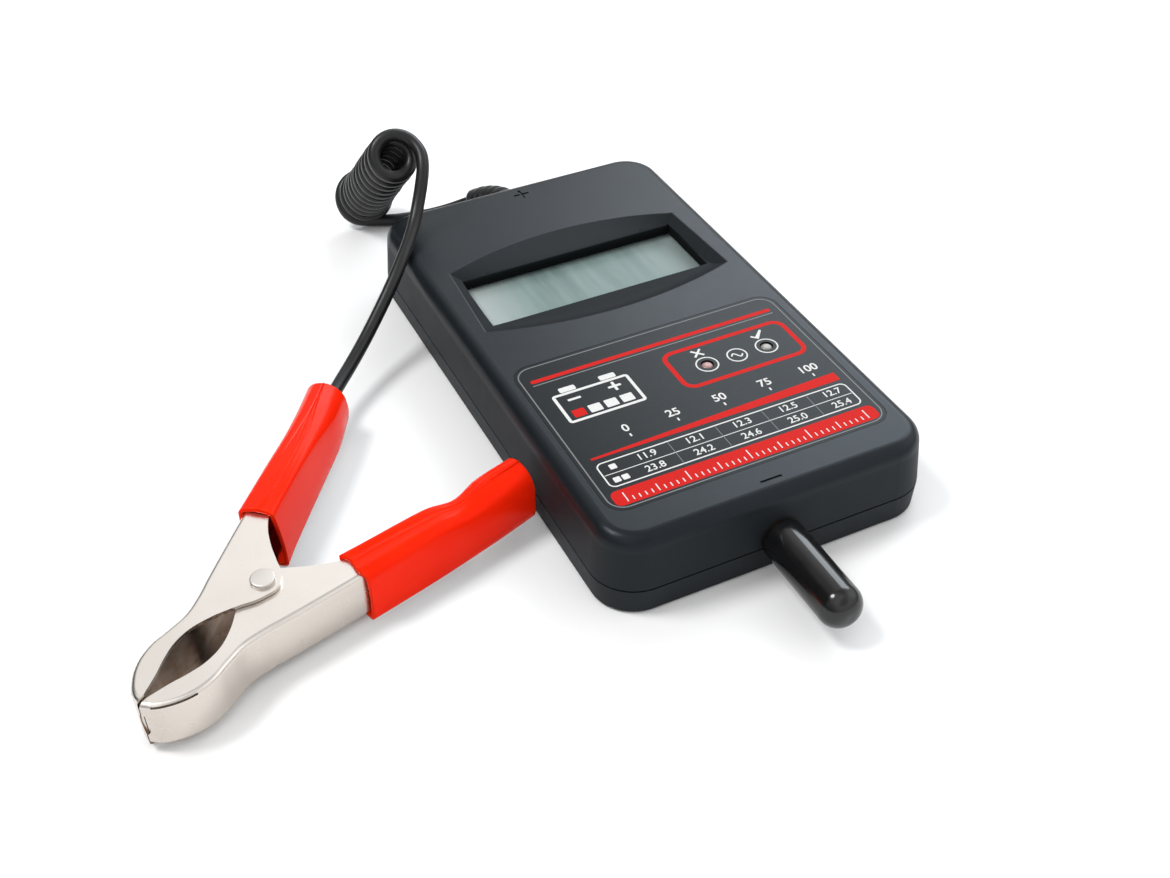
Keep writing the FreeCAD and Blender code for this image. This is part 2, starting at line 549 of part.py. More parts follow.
def arcs(pts, first=None, last=None):
    """Smooth chain of circular arcs through plan points.

    Each item holds start, middle and end, each with its left-hand normal."""
    n = len(pts)
    tan = []
    for k in range(n):
        if k == 0 or k == n - 1:
            tan.append(None)
            continue
        a = (pts[k][0] - pts[k - 1][0], pts[k][1] - pts[k - 1][1])
        c = (pts[k + 1][0] - pts[k][0], pts[k + 1][1] - pts[k][1])
        la, lc = math.hypot(*a), math.hypot(*c)
        tan.append(unit((a[0] / la * lc + c[0] / lc * la, a[1] / la * lc + c[1] / lc * la)))

    def mirror(t, k0, k1):
        c = unit((pts[k1][0] - pts[k0][0], pts[k1][1] - pts[k0][1]))
        d = 2 * (t[0] * c[0] + t[1] * c[1])
        return (d * c[0] - t[0], d * c[1] - t[1])

    tan[0] = unit(first) if first else mirror(tan[1], 0, 1)
    tan[-1] = unit(last) if last else mirror(tan[-2], n - 2, n - 1)
    out = []

    def piece(p, t, q):
        c = (q[0] - p[0], q[1] - p[1])
        L = math.hypot(*c)
        e = (c[0] / L, c[1] / L)
        al = math.atan2(e[0] * t[1] - e[1] * t[0], e[0] * t[0] + e[1] * t[1])
        nl = (-e[1], e[0])
        sg = L / 2 * math.tan(al / 2)
        m = ((p[0] + q[0]) / 2 + nl[0] * sg, (p[1] + q[1]) / 2 + nl[1] * sg)
        t2 = (math.cos(-2 * al) * t[0] - math.sin(-2 * al) * t[1], math.sin(-2 * al) * t[0] + math.cos(-2 * al) * t[1])
        out.append(((p, (-t[1], t[0])), (m, nl), (q, (-t2[1], t2[0]))))

    for k in range(n - 1):
        p, q, t0, t1 = pts[k], pts[k + 1], tan[k], tan[k + 1]
        v = (q[0] - p[0], q[1] - p[1])
        t = (t0[0] + t1[0], t0[1] + t1[1])
        vt, vv, dd = v[0] * t[0] + v[1] * t[1], v[0] ** 2 + v[1] ** 2, t0[0] * t1[0] + t0[1] * t1[1]
        if 1 - dd < 1e-9:
            d = vv / (2 * vt)
        else:
            d = (-vt + math.sqrt(vt * vt + 2 * (1 - dd) * vv)) / (2 * (1 - dd))
        j = ((p[0] + d * t0[0] + q[0] - d * t1[0]) / 2, (p[1] + d * t0[1] + q[1] - d * t1[1]) / 2)
        piece(p, t0, j)
        c = unit((q[0] - j[0], q[1] - j[1]))
        m = 2 * (t1[0] * c[0] + t1[1] * c[1])
        piece(j, (m * c[0] - t1[0], m * c[1] - t1[1]), q)
    return out


def chain_edges(chain, side, z, off=0.0):
    e = []
    for item in chain:
        q = [W(pt[0] + nr[0] * off, side * (pt[1] + nr[1] * off), z) for pt, nr in item]
        if (q[1] - (q[0] + q[2]) * 0.5).Length < 1e-5:
            e.append(Part.LineSegment(q[0], q[2]).toShape())
        else:
            e.append(Part.Arc(*q).toShape())
    return e


def seg(a, c):
    return Part.LineSegment(a, c).toShape()


def arm(side, zr):
    z0, z1 = zr
    reach = HANDLE_LEN[0 if side > 0 else 1]
    back = arcs(OUT, (0.42, 0.91), hd)
    lip = arcs(INN)
    he = handle(reach, 0)
    hi = handle(reach, -CHANNEL + 0.6)
    P = lambda q, z: W(q[0], side * q[1], z)
    body = prism(Part.Wire(chain_edges(back, side, z0) + [seg(P(H0, z0), P(he, z0)), seg(P(he, z0), P(hi, z0)),
                                                         seg(P(hi, z0), P(INN[0], z0))] +
                           chain_edges(lip, side, z0) + [seg(P(INN[-1], z0), P(OUT[0], z0))]), z1 - z0)
    # fold radius along the back
    line = Part.Wire(chain_edges(back, side, z0) + [seg(P(H0, z0), P(he, z0))])
    wanted = []
    for e in body.Edges:
        if e.BoundBox.ZLength > 1e-3:
            continue
        m = e.valueAt((e.FirstParameter + e.LastParameter) / 2)
        if line.distToShape(Part.Vertex(V(m.x, m.y, z0)))[0] < 1e-3:
            wanted.append(e)
    body = body.makeFillet(BEND_R, wanted)
    # channel between the side plates
    zc0 = z0 + SHEET
    a0 = (OUT[0][0] - back[0][0][1][0] * SHEET, OUT[0][1] - back[0][0][1][1] * SHEET)
    h0 = handle(0, -SHEET)
    h1 = handle(reach + 6, -SHEET)
    rest = [h0, h1, (75, -30), (-60, -30), (a0[0] - 0.42 * 4, a0[1] - 0.91 * 4), a0]
    loop = chain_edges(back, side, zc0, -SHEET) + [seg(P(rest[k], zc0), P(rest[k + 1], zc0)) for k in range(len(rest) - 1)]
    body = body.cut(prism(Part.Wire(loop), z1 - z0 - 2 * SHEET))
    # towards its end the handle is a bare tongue: the side plates stop short
    zt = (2.4, 12.8) if side > 0 else (2.8, 12.4)
    k = TONGUE_FROM
    f = [handle(k, 6), handle(k, -12), handle(60, -12), handle(60, 6), handle(k, 6)]
    body = body.cut(prism(Part.makePolygon([P(q, -2) for q in f]), zt[0] + 2))
    body = body.cut(prism(Part.makePolygon([P(q, zt[1]) for q in f]), 10))
    # dimple in the jaw's nose and the fold relief under the upper side plate
    zm = (z0 + z1) / 2
    c, along, across = W(-39, 0, zm), W(1, 0, 0) - W(0, 0, 0), W(0, 1, 0) - W(0, 0, 0)
    bite = Part.Ellipse(c + V(0, 0, BITE[0]), c + across * BITE[1], c)
    body = body.cut(Part.Face(Part.Wire([bite.toShape()])).extrude(along * (39 + OUT[0][0] + BITE[2])))
    f = [(-34.2, 1.9), (-27.6, 5.8), (-27.6, 10), (-38, 10), (-38, 3.4), (-34.2, 1.9)]
    body = body.cut(prism(Part.makePolygon([P(q, z1 - 0.86) for q in f]), 0.42))
    return body


corded = arm(1, OUTER_Z)
corded = corded.cut(Part.makeCylinder(RIVET_R, 40, W(0, 0, -10), V(0, 0, 1)))
free = arm(-1, INNER_Z)
free = free.cut(Part.makeCylinder(RIVET_R + PIN_CLEAR, 40, W(0, 0, -10), V(0, 0, 1)))
save("corded_jaw", corded)
save("free_jaw", free)

rivet = Part.makeCylinder(RIVET_R, OUTER_Z[1] - OUTER_Z[0], W(0, 0, OUTER_Z[0]), V(0, 0, 1))
# flat head, slightly crowned
head_h, crown = 0.95, 0.15
Rs = (RIVET_HEAD_R ** 2 + crown ** 2) / (2 * crown)
head = Part.makeCylinder(RIVET_HEAD_R, head_h, W(0, 0, OUTER_Z[1]), V(0, 0, 1)).common(
    Part.makeSphere(Rs, W(0, 0, OUTER_Z[1] + head_h - Rs)))
head = head.makeFillet(0.35, edges_at(head, OUTER_Z[1] + head_h - crown))
foot = Part.makeCylinder(2.9, 0.75, W(0, 0, OUTER_Z[0] - 0.75), V(0, 0, 1))
foot = foot.makeFillet(0.5, edges_at(foot, OUTER_Z[0] - 0.75))
rivet = rivet.fuse(head).fuse(foot).removeSplitter()
save("jaw_rivet", rivet)

# torsion spring: close rings on the rivet with a leg along each handle
wr = SPRING_WIRE / 2
zc = (INNER_Z[0] + INNER_Z[1]) / 2
levels = [zc - 1.95, zc - 0.65, zc + 0.65, zc + 1.95]
rings = [Part.makeTorus(SPRING_R, wr, W(0, 0, z), V(0, 0, 1)) for z in levels]
leg_end = (13.0, 14.3)
phi = math.atan2(leg_end[1], leg_end[0]) + math.acos(SPRING_R / math.hypot(*leg_end))
tp = (SPRING_R * math.cos(phi), SPRING_R * math.sin(phi))
for idx, side in ((0, 1), (3, -1)):
    a = W(tp[0], side * tp[1], levels[idx])
    b = W(leg_end[0], side * leg_end[1], levels[idx])
    leg = Part.makeCylinder(wr * 0.98, (b - a).Length, a, b - a)
    rings[idx] = rings[idx].fuse(leg)
save("jaw_spring", Part.makeCompound(rings))

# ================================================================ grips
def grip(side, zr, s0, s1, mouth_w):
    zc = (zr[0] + zr[1]) / 2
    hh = (zr[1] - zr[0]) / 2

    def section(s, w, hgt, r, off, zmid):
        o = V(*W(*handle(s, off, side), zmid))
        x = (W(*handle(1, 0, side)) - W(*handle(0, 0, side))).normalize()
        y = V(0, 0, 1).cross(x)
        f = lambda a, b: o + y * a + V(0, 0, 1) * b
        a, b, k = w / 2, hgt / 2, r * (1 - math.sqrt(0.5))
        e = [
            Part.LineSegment(f(-a + r, -b), f(a - r, -b)).toShape(),
            Part.Arc(f(a - r, -b), f(a - k, -b + k), f(a, -b + r)).toShape(),
            Part.LineSegment(f(a, -b + r), f(a, b - r)).toShape(),
            Part.Arc(f(a, b - r), f(a - k, b - k), f(a - r, b)).toShape(),
            Part.LineSegment(f(a - r, b), f(-a + r, b)).toShape(),
            Part.Arc(f(-a + r, b), f(-a + k, b - k), f(-a, b - r)).toShape(),
            Part.LineSegment(f(-a, b - r), f(-a, -b + r)).toShape(),
            Part.Arc(f(-a, -b + r), f(-a + k, -b + k), f(-a + r, -b)).toShape(),
        ]
        return Part.Wire(e)

    mid = -CHANNEL / 2
    rows = [(s0, mouth_w, 2 * hh, 1.3, 1.2 - mouth_w / 2, zc), (s0 + 0.55 * (s1 - s0), 8.4, 2 * hh, 1.8, mid, zc),
            (s0 + 0.88 * (s1 - s0), 10.6, 2 * hh - 0.9, 4.9, mid - 0.2, zc - 0.45),
            (s1, 10.2, 2 * hh - 1.4, 4.7, mid - 0.2, zc - 0.7)]
    t = 2 * GRIP_T
    outer = Part.makeLoft([section(*q) for q in rows], True, True)
    e = 0.5
    rows_in = [(q[0] + (-e if j == 0 else e if j == len(rows) - 1 else 0), q[1] - t, q[2] - t, q[3] - GRIP_T, q[4], q[5])
               for j, q in enumerate(rows)]
    inner = Part.makeLoft([section(*q) for q in rows_in], True, True)
    return outer.cut(inner)


save("corded_grip", grip(1, (0.05, 15.15), 2.2, 48.4, 8.3))
save("free_grip", grip(-1, (0.05, 15.15), 0.9, 44.6, 8.75))

# ================================================================ summary
for k in sorted(made):
    sh = made[k]
    bb = sh.optimalBoundingBox(False)
    print("%-22s solids %2d valid %s vol %9.2f  x %.1f..%.1f y %.1f..%.1f z %.2f..%.2f" % (
        k, len(sh.Solids), sh.isValid(), sh.Volume, bb.XMin, bb.XMax, bb.YMin, bb.YMax, bb.ZMin, bb.ZMax))
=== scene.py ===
import bpy
import bmesh
import math
import numpy as np
from mathutils import Matrix, Vector


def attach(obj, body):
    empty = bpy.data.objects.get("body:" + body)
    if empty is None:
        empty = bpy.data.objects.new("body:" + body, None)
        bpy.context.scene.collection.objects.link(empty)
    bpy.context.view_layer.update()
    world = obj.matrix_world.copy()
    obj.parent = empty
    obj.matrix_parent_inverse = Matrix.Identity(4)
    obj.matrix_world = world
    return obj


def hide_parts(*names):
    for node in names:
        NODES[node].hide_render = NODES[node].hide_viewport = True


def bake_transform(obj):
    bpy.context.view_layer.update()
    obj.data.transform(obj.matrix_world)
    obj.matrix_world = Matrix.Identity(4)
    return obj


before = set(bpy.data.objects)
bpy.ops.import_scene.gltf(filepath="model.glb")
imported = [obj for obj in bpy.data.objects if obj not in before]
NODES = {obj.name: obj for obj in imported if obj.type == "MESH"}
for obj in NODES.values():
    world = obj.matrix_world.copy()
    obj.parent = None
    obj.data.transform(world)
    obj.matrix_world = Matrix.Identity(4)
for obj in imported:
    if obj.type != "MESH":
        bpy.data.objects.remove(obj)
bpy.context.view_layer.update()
MM = 0.001
Z = Vector((0, 0, 1))


# ------------------------------------------------------------------ camera
def make_camera():
    a, e, roll = math.radians(-25.322), math.radians(40.574), math.radians(-0.972)
    back = Vector((math.sin(a) * math.cos(e), -math.cos(a) * math.cos(e), math.sin(e)))
    pos = Vector((-0.01876, -0.013987, 0.0)) + back * 0.341238
    x = Z.cross(back).normalized()
    y = back.cross(x)
    c, s = math.cos(roll), math.sin(roll)
    x2, y2 = x * c + y * s, y * c - x * s
    data = bpy.data.cameras.new("camera")
    data.sensor_fit = "HORIZONTAL"
    data.sensor_width = 36.0
    data.lens = 1441.414 / 1170.0 * 36.0
    data.clip_start, data.clip_end = 0.01, 50.0
    cam = bpy.data.objects.new("camera", data)
    bpy.context.scene.collection.objects.link(cam)
    cam.matrix_world = Matrix((
        (x2.x, y2.x, back.x, pos.x), (x2.y, y2.y, back.y, pos.y), (x2.z, y2.z, back.z, pos.z), (0, 0, 0, 1)))
    bpy.context.scene.camera = cam


make_camera()


# ------------------------------------------------------------------ cord
CORD_D = 3.3 * MM
TAIL = [(-4.9206, 86.9906, 6.98), (-8.7, 91.6, 3.3), (-14.6, 93.4, 1.9), (-20.6, 94.4, 1.75), (-26.4, 95.7, 1.75),
        (-31.6, 98.1, 1.8)]
LEAD = [(-25.4, 67.5, 37.4), (-26.3, 64.3, 35.2), (-27.8, 62.1, 32.3), (-29.8, 59.9, 28.6), (-32.4, 56.5, 25.3),
        (-35.9, 51.9, 22.9), (-40.2, 46.7, 20.9), (-45.2, 41.6, 17.8), (-50.6, 37.2, 14.1), (-56.1, 32.5, 10.9),
        (-62.2, 26.8, 8.7), (-67.6, 21.3, 7.75), (-70.0, 18.0, 7.65), (-70.9, 13.8, 7.6), (-75.29, 8.32, 7.6)]
COIL_AXIS = [(-32.1, 103.7, 6.0), (-32.3, 92.0, 16.9), (-32.2, 80.3, 27.5), (-32.1, 68.7, 38.0)]


def nurbs(name, points, radius=None, res=8):
    cu = bpy.data.curves.new(name, "CURVE")
    cu.dimensions = "3D"
    sp = cu.splines.new("NURBS")
    sp.points.add(len(points) - 1)
    for q, p in zip(sp.points, points):
        q.co = (p[0] * MM, p[1] * MM, p[2] * MM, 1.0)
        if radius:
            q.radius = radius
    sp.order_u = 3
    sp.use_endpoint_u = True
    sp.resolution_u = res
    cu.resolution_u = res
    cu.bevel_depth = 1.0 if radius else 0.0
    cu.bevel_resolution = 6
    cu.use_fill_caps = True
    ob = bpy.data.objects.new(name, cu)
    bpy.context.scene.collection.objects.link(ob)
    return ob


def line_of(ob):
    """Points along a curve that has no bevel, in millimetres."""
    m = bpy.data.meshes.new_from_object(ob)
    pts = np.array([v.co for v in m.vertices], float) / MM
    bpy.data.meshes.remove(m)
    return pts


def coil_points():
    """Helix of the curly part, wound about the axis route's own smooth line."""
    guide = nurbs("coil_axis", COIL_AXIS)
    line = line_of(guide)
    bpy.data.objects.remove(guide)
    step = np.linalg.norm(np.diff(line, axis=0), axis=1)
    along = np.concatenate([[0], np.cumsum(step)])
    total = along[-1]
    per, turns = 18, 12.0
    # from under the foot (180 degrees) to the right side of the head (90 degrees)
    t0, t1 = 180.0, 180.0 + 360.0 * (turns - 0.25)
    pts = []
    n = int(round((t1 - t0) / 360.0 * per))
    for i in range(1, n):
        th = t0 + (t1 - t0) * i / n
        turn = (th - t0) / 360.0
        left = (t1 - th) / 360.0
        f = (th - t0) / (t1 - t0)
        R = 5.42 - 0.34 * f + 0.05 * math.sin(2.1 * turn) + 0.05 * math.sin(5.3 * turn + 1.0)
        # the first turns stand wide and loose, the last one opens towards the lead
        R += 1.75 * math.exp(-turn / 0.95) * min(1.0, 0.35 + turn / 0.22)
        if left < 0.34:
            R += 1.35 * (1 - left / 0.34) ** 1.4
        s = 0.9 + (total - 1.4) * (0.88 * f + 0.12 * f * f) + 0.10 * math.sin(3.7 * turn)
        s = min(max(s, 0.0), total)
        c = np.array([np.interp(s, along, line[:, k]) for k in range(3)])
        k = min(max(np.searchsorted(along, s), 1), len(line) - 1)
        a = Vector(line[k] - line[k - 1]).normalized()
        u = (Z - a * a.z).normalized()
        r = u.cross(a) * -1.0
        if r.x < 0:
            r = r * -1.0
        R *= 1.0 / (0.75 + 0.25 * math.cos(2 * math.pi / per))
        q = Vector(c) + (u * math.cos(math.radians(th)) + r * math.sin(math.radians(th))) * R
        pts.append((q.x, q.y, max(q.z, 1.75)))
    return pts


CORD = TAIL + coil_points() + LEAD
cord = nurbs("cord", CORD, CORD_D / 2.0, 5)
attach(cord, "tester")
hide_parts("cord_tail", "cord_coil", "cord_lead")


# ------------------------------------------------------------------ material helpers
class Tree:
    """Small helper that adds nodes to a material and links them."""

    def __init__(self, name):
        self.m = bpy.data.materials.new(name)
        self.m.use_nodes = True
        self.t = self.m.node_tree
        self.p = next(n for n in self.t.nodes if n.type == "BSDF_PRINCIPLED")
        self.co = self.t.nodes.new("ShaderNodeTexCoord").outputs["Object"]

    def new(self, kind, **k):
        n = self.t.nodes.new(kind)
        for a, b in k.items():
            setattr(n, a, b)
        return n

    def link(self, a, b):
        self.t.links.new(a, b)

    def mapping(self, scale=(1, 1, 1), rot=(0, 0, 0), loc=(0, 0, 0)):
        n = self.new("ShaderNodeMapping")
        n.inputs["Scale"].default_value = scale
        n.inputs["Rotation"].default_value = rot
        n.inputs["Location"].default_value = loc
        self.link(self.co, n.inputs["Vector"])
        return n.outputs[0]

    def xyz(self):
        n = self.new("ShaderNodeSeparateXYZ")
        self.link(self.co, n.inputs[0])
        return n.outputs["X"], n.outputs["Y"], n.outputs["Z"]

    def noise(self, scale, detail=3.0, rough=0.5, vec=None, dist=0.0):
        n = self.new("ShaderNodeTexNoise")
        n.inputs["Scale"].default_value = scale
        n.inputs["Detail"].default_value = detail
        n.inputs["Roughness"].default_value = rough
        n.inputs["Distortion"].default_value = dist
        self.link(vec if vec is not None else self.co, n.inputs["Vector"])
        return n.outputs["Fac"]

    def voronoi(self, scale, vec=None, feature="F1"):
        n = self.new("ShaderNodeTexVoronoi", feature=feature)
        n.inputs["Scale"].default_value = scale
        self.link(vec if vec is not None else self.co, n.inputs["Vector"])
        return n.outputs["Distance"]

    def ramp(self, fac, stops, mode="LINEAR"):
        n = self.new("ShaderNodeValToRGB")
        n.color_ramp.interpolation = mode
        e = n.color_ramp.elements
        while len(e) < len(stops):
            e.new(0.5)
        for q, (pos, col) in zip(e, stops):
            q.position = pos
            q.color = (*col, 1.0) if hasattr(col, "__len__") else (col, col, col, 1.0)
        self.link(fac, n.inputs["Fac"])
        return n.outputs["Color"]

    def range(self, fac, a, b, lo=0.0, hi=1.0):
        n = self.new("ShaderNodeMapRange")
        n.inputs["From Min"].default_value = lo
        n.inputs["From Max"].default_value = hi
        n.inputs["To Min"].default_value = a
        n.inputs["To Max"].default_value = b
        self.link(fac, n.inputs["Value"])
        return n.outputs["Result"]

    def math(self, op, a, b=None):
        n = self.new("ShaderNodeMath", operation=op)
        for i, v in enumerate((a, b)):
            if v is None:
                continue
            if isinstance(v, (int, float)):
                n.inputs[i].default_value = v
            else:
                self.link(v, n.inputs[i])
        return n.outputs[0]

    def mix(self, fac, a, b):
        n = self.new("ShaderNodeMix", data_type="RGBA")
        col = [s for s in n.inputs if s.type == "RGBA"]
        fs = [s for s in n.inputs if s.type == "VALUE"][0]
        if isinstance(fac, (int, float)):
            fs.default_value = fac
        else:
            self.link(fac, fs)
        for s, v in zip(col, (a, b)):
            if isinstance(v, tuple):
                s.default_value = (*v, 1.0)
            else:
                self.link(v, s)
        return [o for o in n.outputs if o.type == "RGBA"][0]

    def bump(self, height, strength, distance, normal=None):
        n = self.new("ShaderNodeBump")
        n.inputs["Strength"].default_value = strength
        n.inputs["Distance"].default_value = distance
        self.link(height, n.inputs["Height"])
        if normal is not None:
            self.link(normal, n.inputs["Normal"])
        return n.outputs["Normal"]

    def set(self, **k):
        names = {"color": "Base Color", "rough": "Roughness", "metal": "Metallic", "normal": "Normal", "ior": "IOR",
                 "spec": "Specular IOR Level", "coat": "Coat Weight", "coat_rough": "Coat Roughness",
                 "trans": "Transmission Weight", "alpha": "Alpha", "sheen": "Sheen Weight", "sheen_rough": "Sheen Roughness",
                 "sub": "Subsurface Weight", "aniso": "Anisotropic", "tint": "Specular Tint"}
        for a, v in k.items():
            s = self.p.inputs[names[a]]
            if isinstance(v, (int, float)):
                s.default_value = v
            elif isinstance(v, tuple):
                s.default_value = (*v, 1.0) if len(v) == 3 else v
            else:
                self.link(v, s)
        return self.m


def plain(name, col, rough, vary=0.12, scale=400.0, bump=0.0, bump_scale=1500.0, metal=0.0, rough_vary=0.06, spec=0.5):
    """Moulded or machined surface: slight mottling, uneven gloss and a fine grain."""
    t = Tree(name)
    n = t.noise(scale, 4.0)
    lo, hi = tuple(c * (1 - vary) for c in col), tuple(min(1.0, c * (1 + vary)) for c in col)
    t.set(color=t.ramp(n, [(0.3, lo), (0.7, hi)]), rough=t.range(t.noise(scale * 2.3, 3.0), rough - rough_vary, rough + rough_vary),
          metal=metal, spec=spec)
    if bump:
        t.set(normal=t.bump(t.noise(bump_scale, 2.0), bump, 0.0002))
    return t.m


def paint(ob, m):
    ob.data.materials.clear()
    ob.data.materials.append(m)


# ------------------------------------------------------------------ materials
def case_plastic():
    t = Tree("case_plastic")
    big = t.noise(28.0, 3.0)
    grain = t.noise(5200.0, 2.0, 0.6)
    fine = t.voronoi(3300.0)
    col = t.ramp(big, [(0.3, (0.0085, 0.0104, 0.0126)), (0.72, (0.0112, 0.0132, 0.0156))])
    # painted shade: the display recess's colour is darkened and its well is painted nearly black, where the window's
    # walls shade them; the recess is also duller (rougher) than the spark-eroded outside
    x, y, z = t.xyz()
    inside = t.math("MULTIPLY", t.math("LESS_THAN", t.math("ABSOLUTE", x), 0.0333), t.math("LESS_THAN", z, 0.02034))
    inside = t.math("MULTIPLY", inside, t.math("LESS_THAN", t.math("ABSOLUTE", t.math("SUBTRACT", y, 0.0236)), 0.0196))
    inside = t.math("MULTIPLY", inside, t.math("GREATER_THAN", z, 0.0150))
    well_shade = t.math("MULTIPLY", inside, t.range(z, 1.0, 0.0, 0.0173, 0.0187))
    # painted shade on the recess slopes, and painted near-black shade in the well
    col = t.mix(t.math("MULTIPLY", inside, 0.6), col, (0.003, 0.0038, 0.0040))
    col = t.mix(well_shade, col, (0.002, 0.0022, 0.0024))
    rough = t.range(t.noise(210.0, 4.0), 0.27, 0.34)
    # the walls' texture is coarser than the top's
    rough = t.math("ADD", rough, t.range(z, 0.26, 0.0, 0.0162, 0.0191))
    rough = t.math("ADD", rough, t.math("MULTIPLY", inside, 0.22))
    rough = t.math("ADD", rough, t.math("MULTIPLY", well_shade, 0.25))
    nrm = t.bump(fine, 0.07, 0.00012)
    nrm = t.bump(grain, 0.09, 0.00010, nrm)
    return t.set(color=col, rough=rough, normal=nrm, spec=0.19, tint=(0.80, 0.91, 1.0))


def label_film():
    t = Tree("label_film")
    col = t.ramp(t.noise(60.0, 3.0), [(0.3, (0.0060, 0.0068, 0.0076)), (0.7, (0.0078, 0.0087, 0.0096))])
    nrm = t.bump(t.noise(4200.0, 2.0), 0.03, 0.0001)
    return t.set(color=col, rough=t.range(t.noise(900.0, 3.0), 0.26, 0.31), normal=nrm, spec=0.12,
                 tint=(0.84, 0.93, 1.0))


def ink(name, col, rough=0.5):
    t = Tree(name)
    n = t.noise(1700.0, 4.0)
    lo = tuple(c * 0.90 for c in col)
    return t.set(color=t.ramp(n, [(0.25, lo), (0.75, col)]), rough=t.range(t.noise(2500.0), rough - 0.05, rough + 0.05), spec=0.06)


def lcd_glass():
    t = Tree("lcd_glass")
    x, y, z = t.xyz()
    streak = t.noise(1.0, 5.0, 0.62, t.mapping((210.0, 16.0, 1.0)))
    broad = t.noise(1.0, 3.0, 0.5, t.mapping((70.0, 18.0, 1.0), (0, 0, 0), (0.4, 0.1, 0.0)))
    # faint upright streaks of the panel, darkened further along the back edge by a painted shadow of the window's back
    # wall, and a paler left end
    back_wall_shadow = t.range(y, 0.34, 1.0, 0.0150, 0.0335)
    streaks_and_shadow = t.math("MULTIPLY", t.range(streak, 0.0, 1.0, 0.38, 0.62), back_wall_shadow)
    col = t.mix(streaks_and_shadow, (0.205, 0.268, 0.258), (0.112, 0.158, 0.151))
    col = t.mix(t.range(broad, 0.0, 0.55, 0.42, 0.70), col, (0.170, 0.235, 0.225))
    col = t.mix(t.range(x, 0.80, 0.0, -0.0300, -0.0150), col, (0.440, 0.470, 0.470))
    col = t.mix(t.range(x, 0.0, 0.42, 0.0120, 0.0300), col, (0.285, 0.315, 0.316))
    return t.set(color=col, rough=t.range(t.noise(1500.0), 0.36, 0.44), spec=0.08)


def lens_clear():
    t = Tree("clear_lens")
    rough = t.range(t.noise(400.0, 2.0), 0.27, 0.33)
    col = t.ramp(t.noise(30.0), [(0.3, (0.93, 0.96, 0.95)), (0.7, (0.98, 0.99, 0.985))])
    return t.set(color=col, rough=rough, trans=1.0, ior=1.06, spec=0.2)


def rubber(name, col, rough, bump=0.08, spec=0.5):
    t = Tree(name)
    n = t.noise(300.0, 4.0)
    lo, hi = tuple(c * 0.8 for c in col), tuple(c * 1.2 for c in col)
    nrm = t.bump(t.noise(3800.0, 2.0), bump, 0.0001)
    return t.set(color=t.ramp(n, [(0.3, lo), (0.7, hi)]), rough=t.range(t.noise(700.0, 4.0), rough - 0.07, rough + 0.07), normal=nrm, spec=spec)


def vinyl_black():
    t = Tree("cap_vinyl")
    col = t.ramp(t.noise(220.0, 4.0), [(0.3, (0.0045, 0.0045, 0.005)), (0.7, (0.0075, 0.0075, 0.008))])
    nrm = t.bump(t.noise(420.0, 2.0), 0.05, 0.0002)
    return t.set(color=col, rough=t.range(t.noise(300.0, 4.0), 0.13, 0.19), normal=nrm)


def vinyl_red():
    t = Tree("grip_vinyl")
    col = t.ramp(t.noise(70.0, 4.0), [(0.28, (0.92, 0.0150, 0.0018)), (0.72, (0.96, 0.0200, 0.0030))])
    nrm = t.bump(t.noise(330.0, 3.0), 0.05, 0.0003)
    # soft vinyl lets some red light through its wall
    t.p.inputs["Subsurface Radius"].default_value = (1.0, 0.14, 0.07)
    t.p.inputs["Subsurface Scale"].default_value = 0.002
    return t.set(color=col, rough=t.range(t.noise(190.0, 4.0), 0.15, 0.22), normal=nrm, spec=0.085, tint=(1.0, 0.50, 0.40), sub=0.22)


def nickel(name, lo, hi, rough_lo, rough_hi, side=0):
    t = Tree(name)
    col = t.ramp(t.noise(55.0, 3.0), [(0.3, lo), (0.7, hi)])
    rough = t.range(t.noise(260.0, 2.0), rough_lo, rough_hi)
    if side:
        # painted shade: the walls' inner faces inside the mouth are darkened to brown, mottled, and made duller
        d = t.new("ShaderNodeVectorMath", operation="DOT_PRODUCT")
        d.inputs[1].default_value = (side * math.sin(math.radians(33.6)), -side * math.cos(math.radians(33.6)), 0.0)
        face = t.new("ShaderNodeTexCoord").outputs["Normal"]
        t.link(face, d.inputs[0])
        # painted shade: the bent walls' colour is a little darker than the flat side plates
        up = t.new("ShaderNodeSeparateXYZ")
        t.link(face, up.inputs[0])
        wall = t.range(t.math("ABSOLUTE", up.outputs["Z"]), 1.0, 0.0, 0.30, 0.80)
        col = t.mix(wall, col, (0.625, 0.570, 0.522))
        # painted shade in the mouth: inner faces below the top plates are darkened to brown
        mouth_shade = t.range(d.outputs["Value"], 0.0, 1.0, 0.15, 0.55)
        mouth_shade = t.math("MULTIPLY", mouth_shade, t.math("LESS_THAN", t.xyz()[2], 0.01335 if side > 0 else 0.01245))
        shade_mottle = t.range(t.noise(330.0, 3.0), 0.62, 1.0, 0.3, 0.7)
        mouth_shade = t.math("MULTIPLY", mouth_shade, shade_mottle)
        col = t.mix(mouth_shade, col, (0.250, 0.165, 0.115))
        rough = t.math("ADD", rough, t.math("MULTIPLY", mouth_shade, 0.06))
    nrm = t.bump(t.noise(120.0, 2.0), 0.03, 0.0004)
    return t.set(color=col, metal=1.0, rough=rough, normal=nrm)


def brass():
    t = Tree("probe_brass")
    ring = t.noise(1.0, 2.0, 0.5, t.mapping((60.0, 2600.0, 60.0)))
    col = t.ramp(t.noise(120.0, 4.0), [(0.3, (0.80, 0.60, 0.32)), (0.7, (0.88, 0.69, 0.41))])
    # the shank behind the cone is tarnished
    y = t.xyz()[1]
    col = t.mix(t.range(y, 0.0, 0.9, -0.0797, -0.0780), col, (0.72, 0.345, 0.110))
    nrm = t.bump(ring, 0.10, 0.0001)
    return t.set(color=col, metal=1.0, rough=t.range(t.noise(900.0), 0.27, 0.36), normal=nrm)


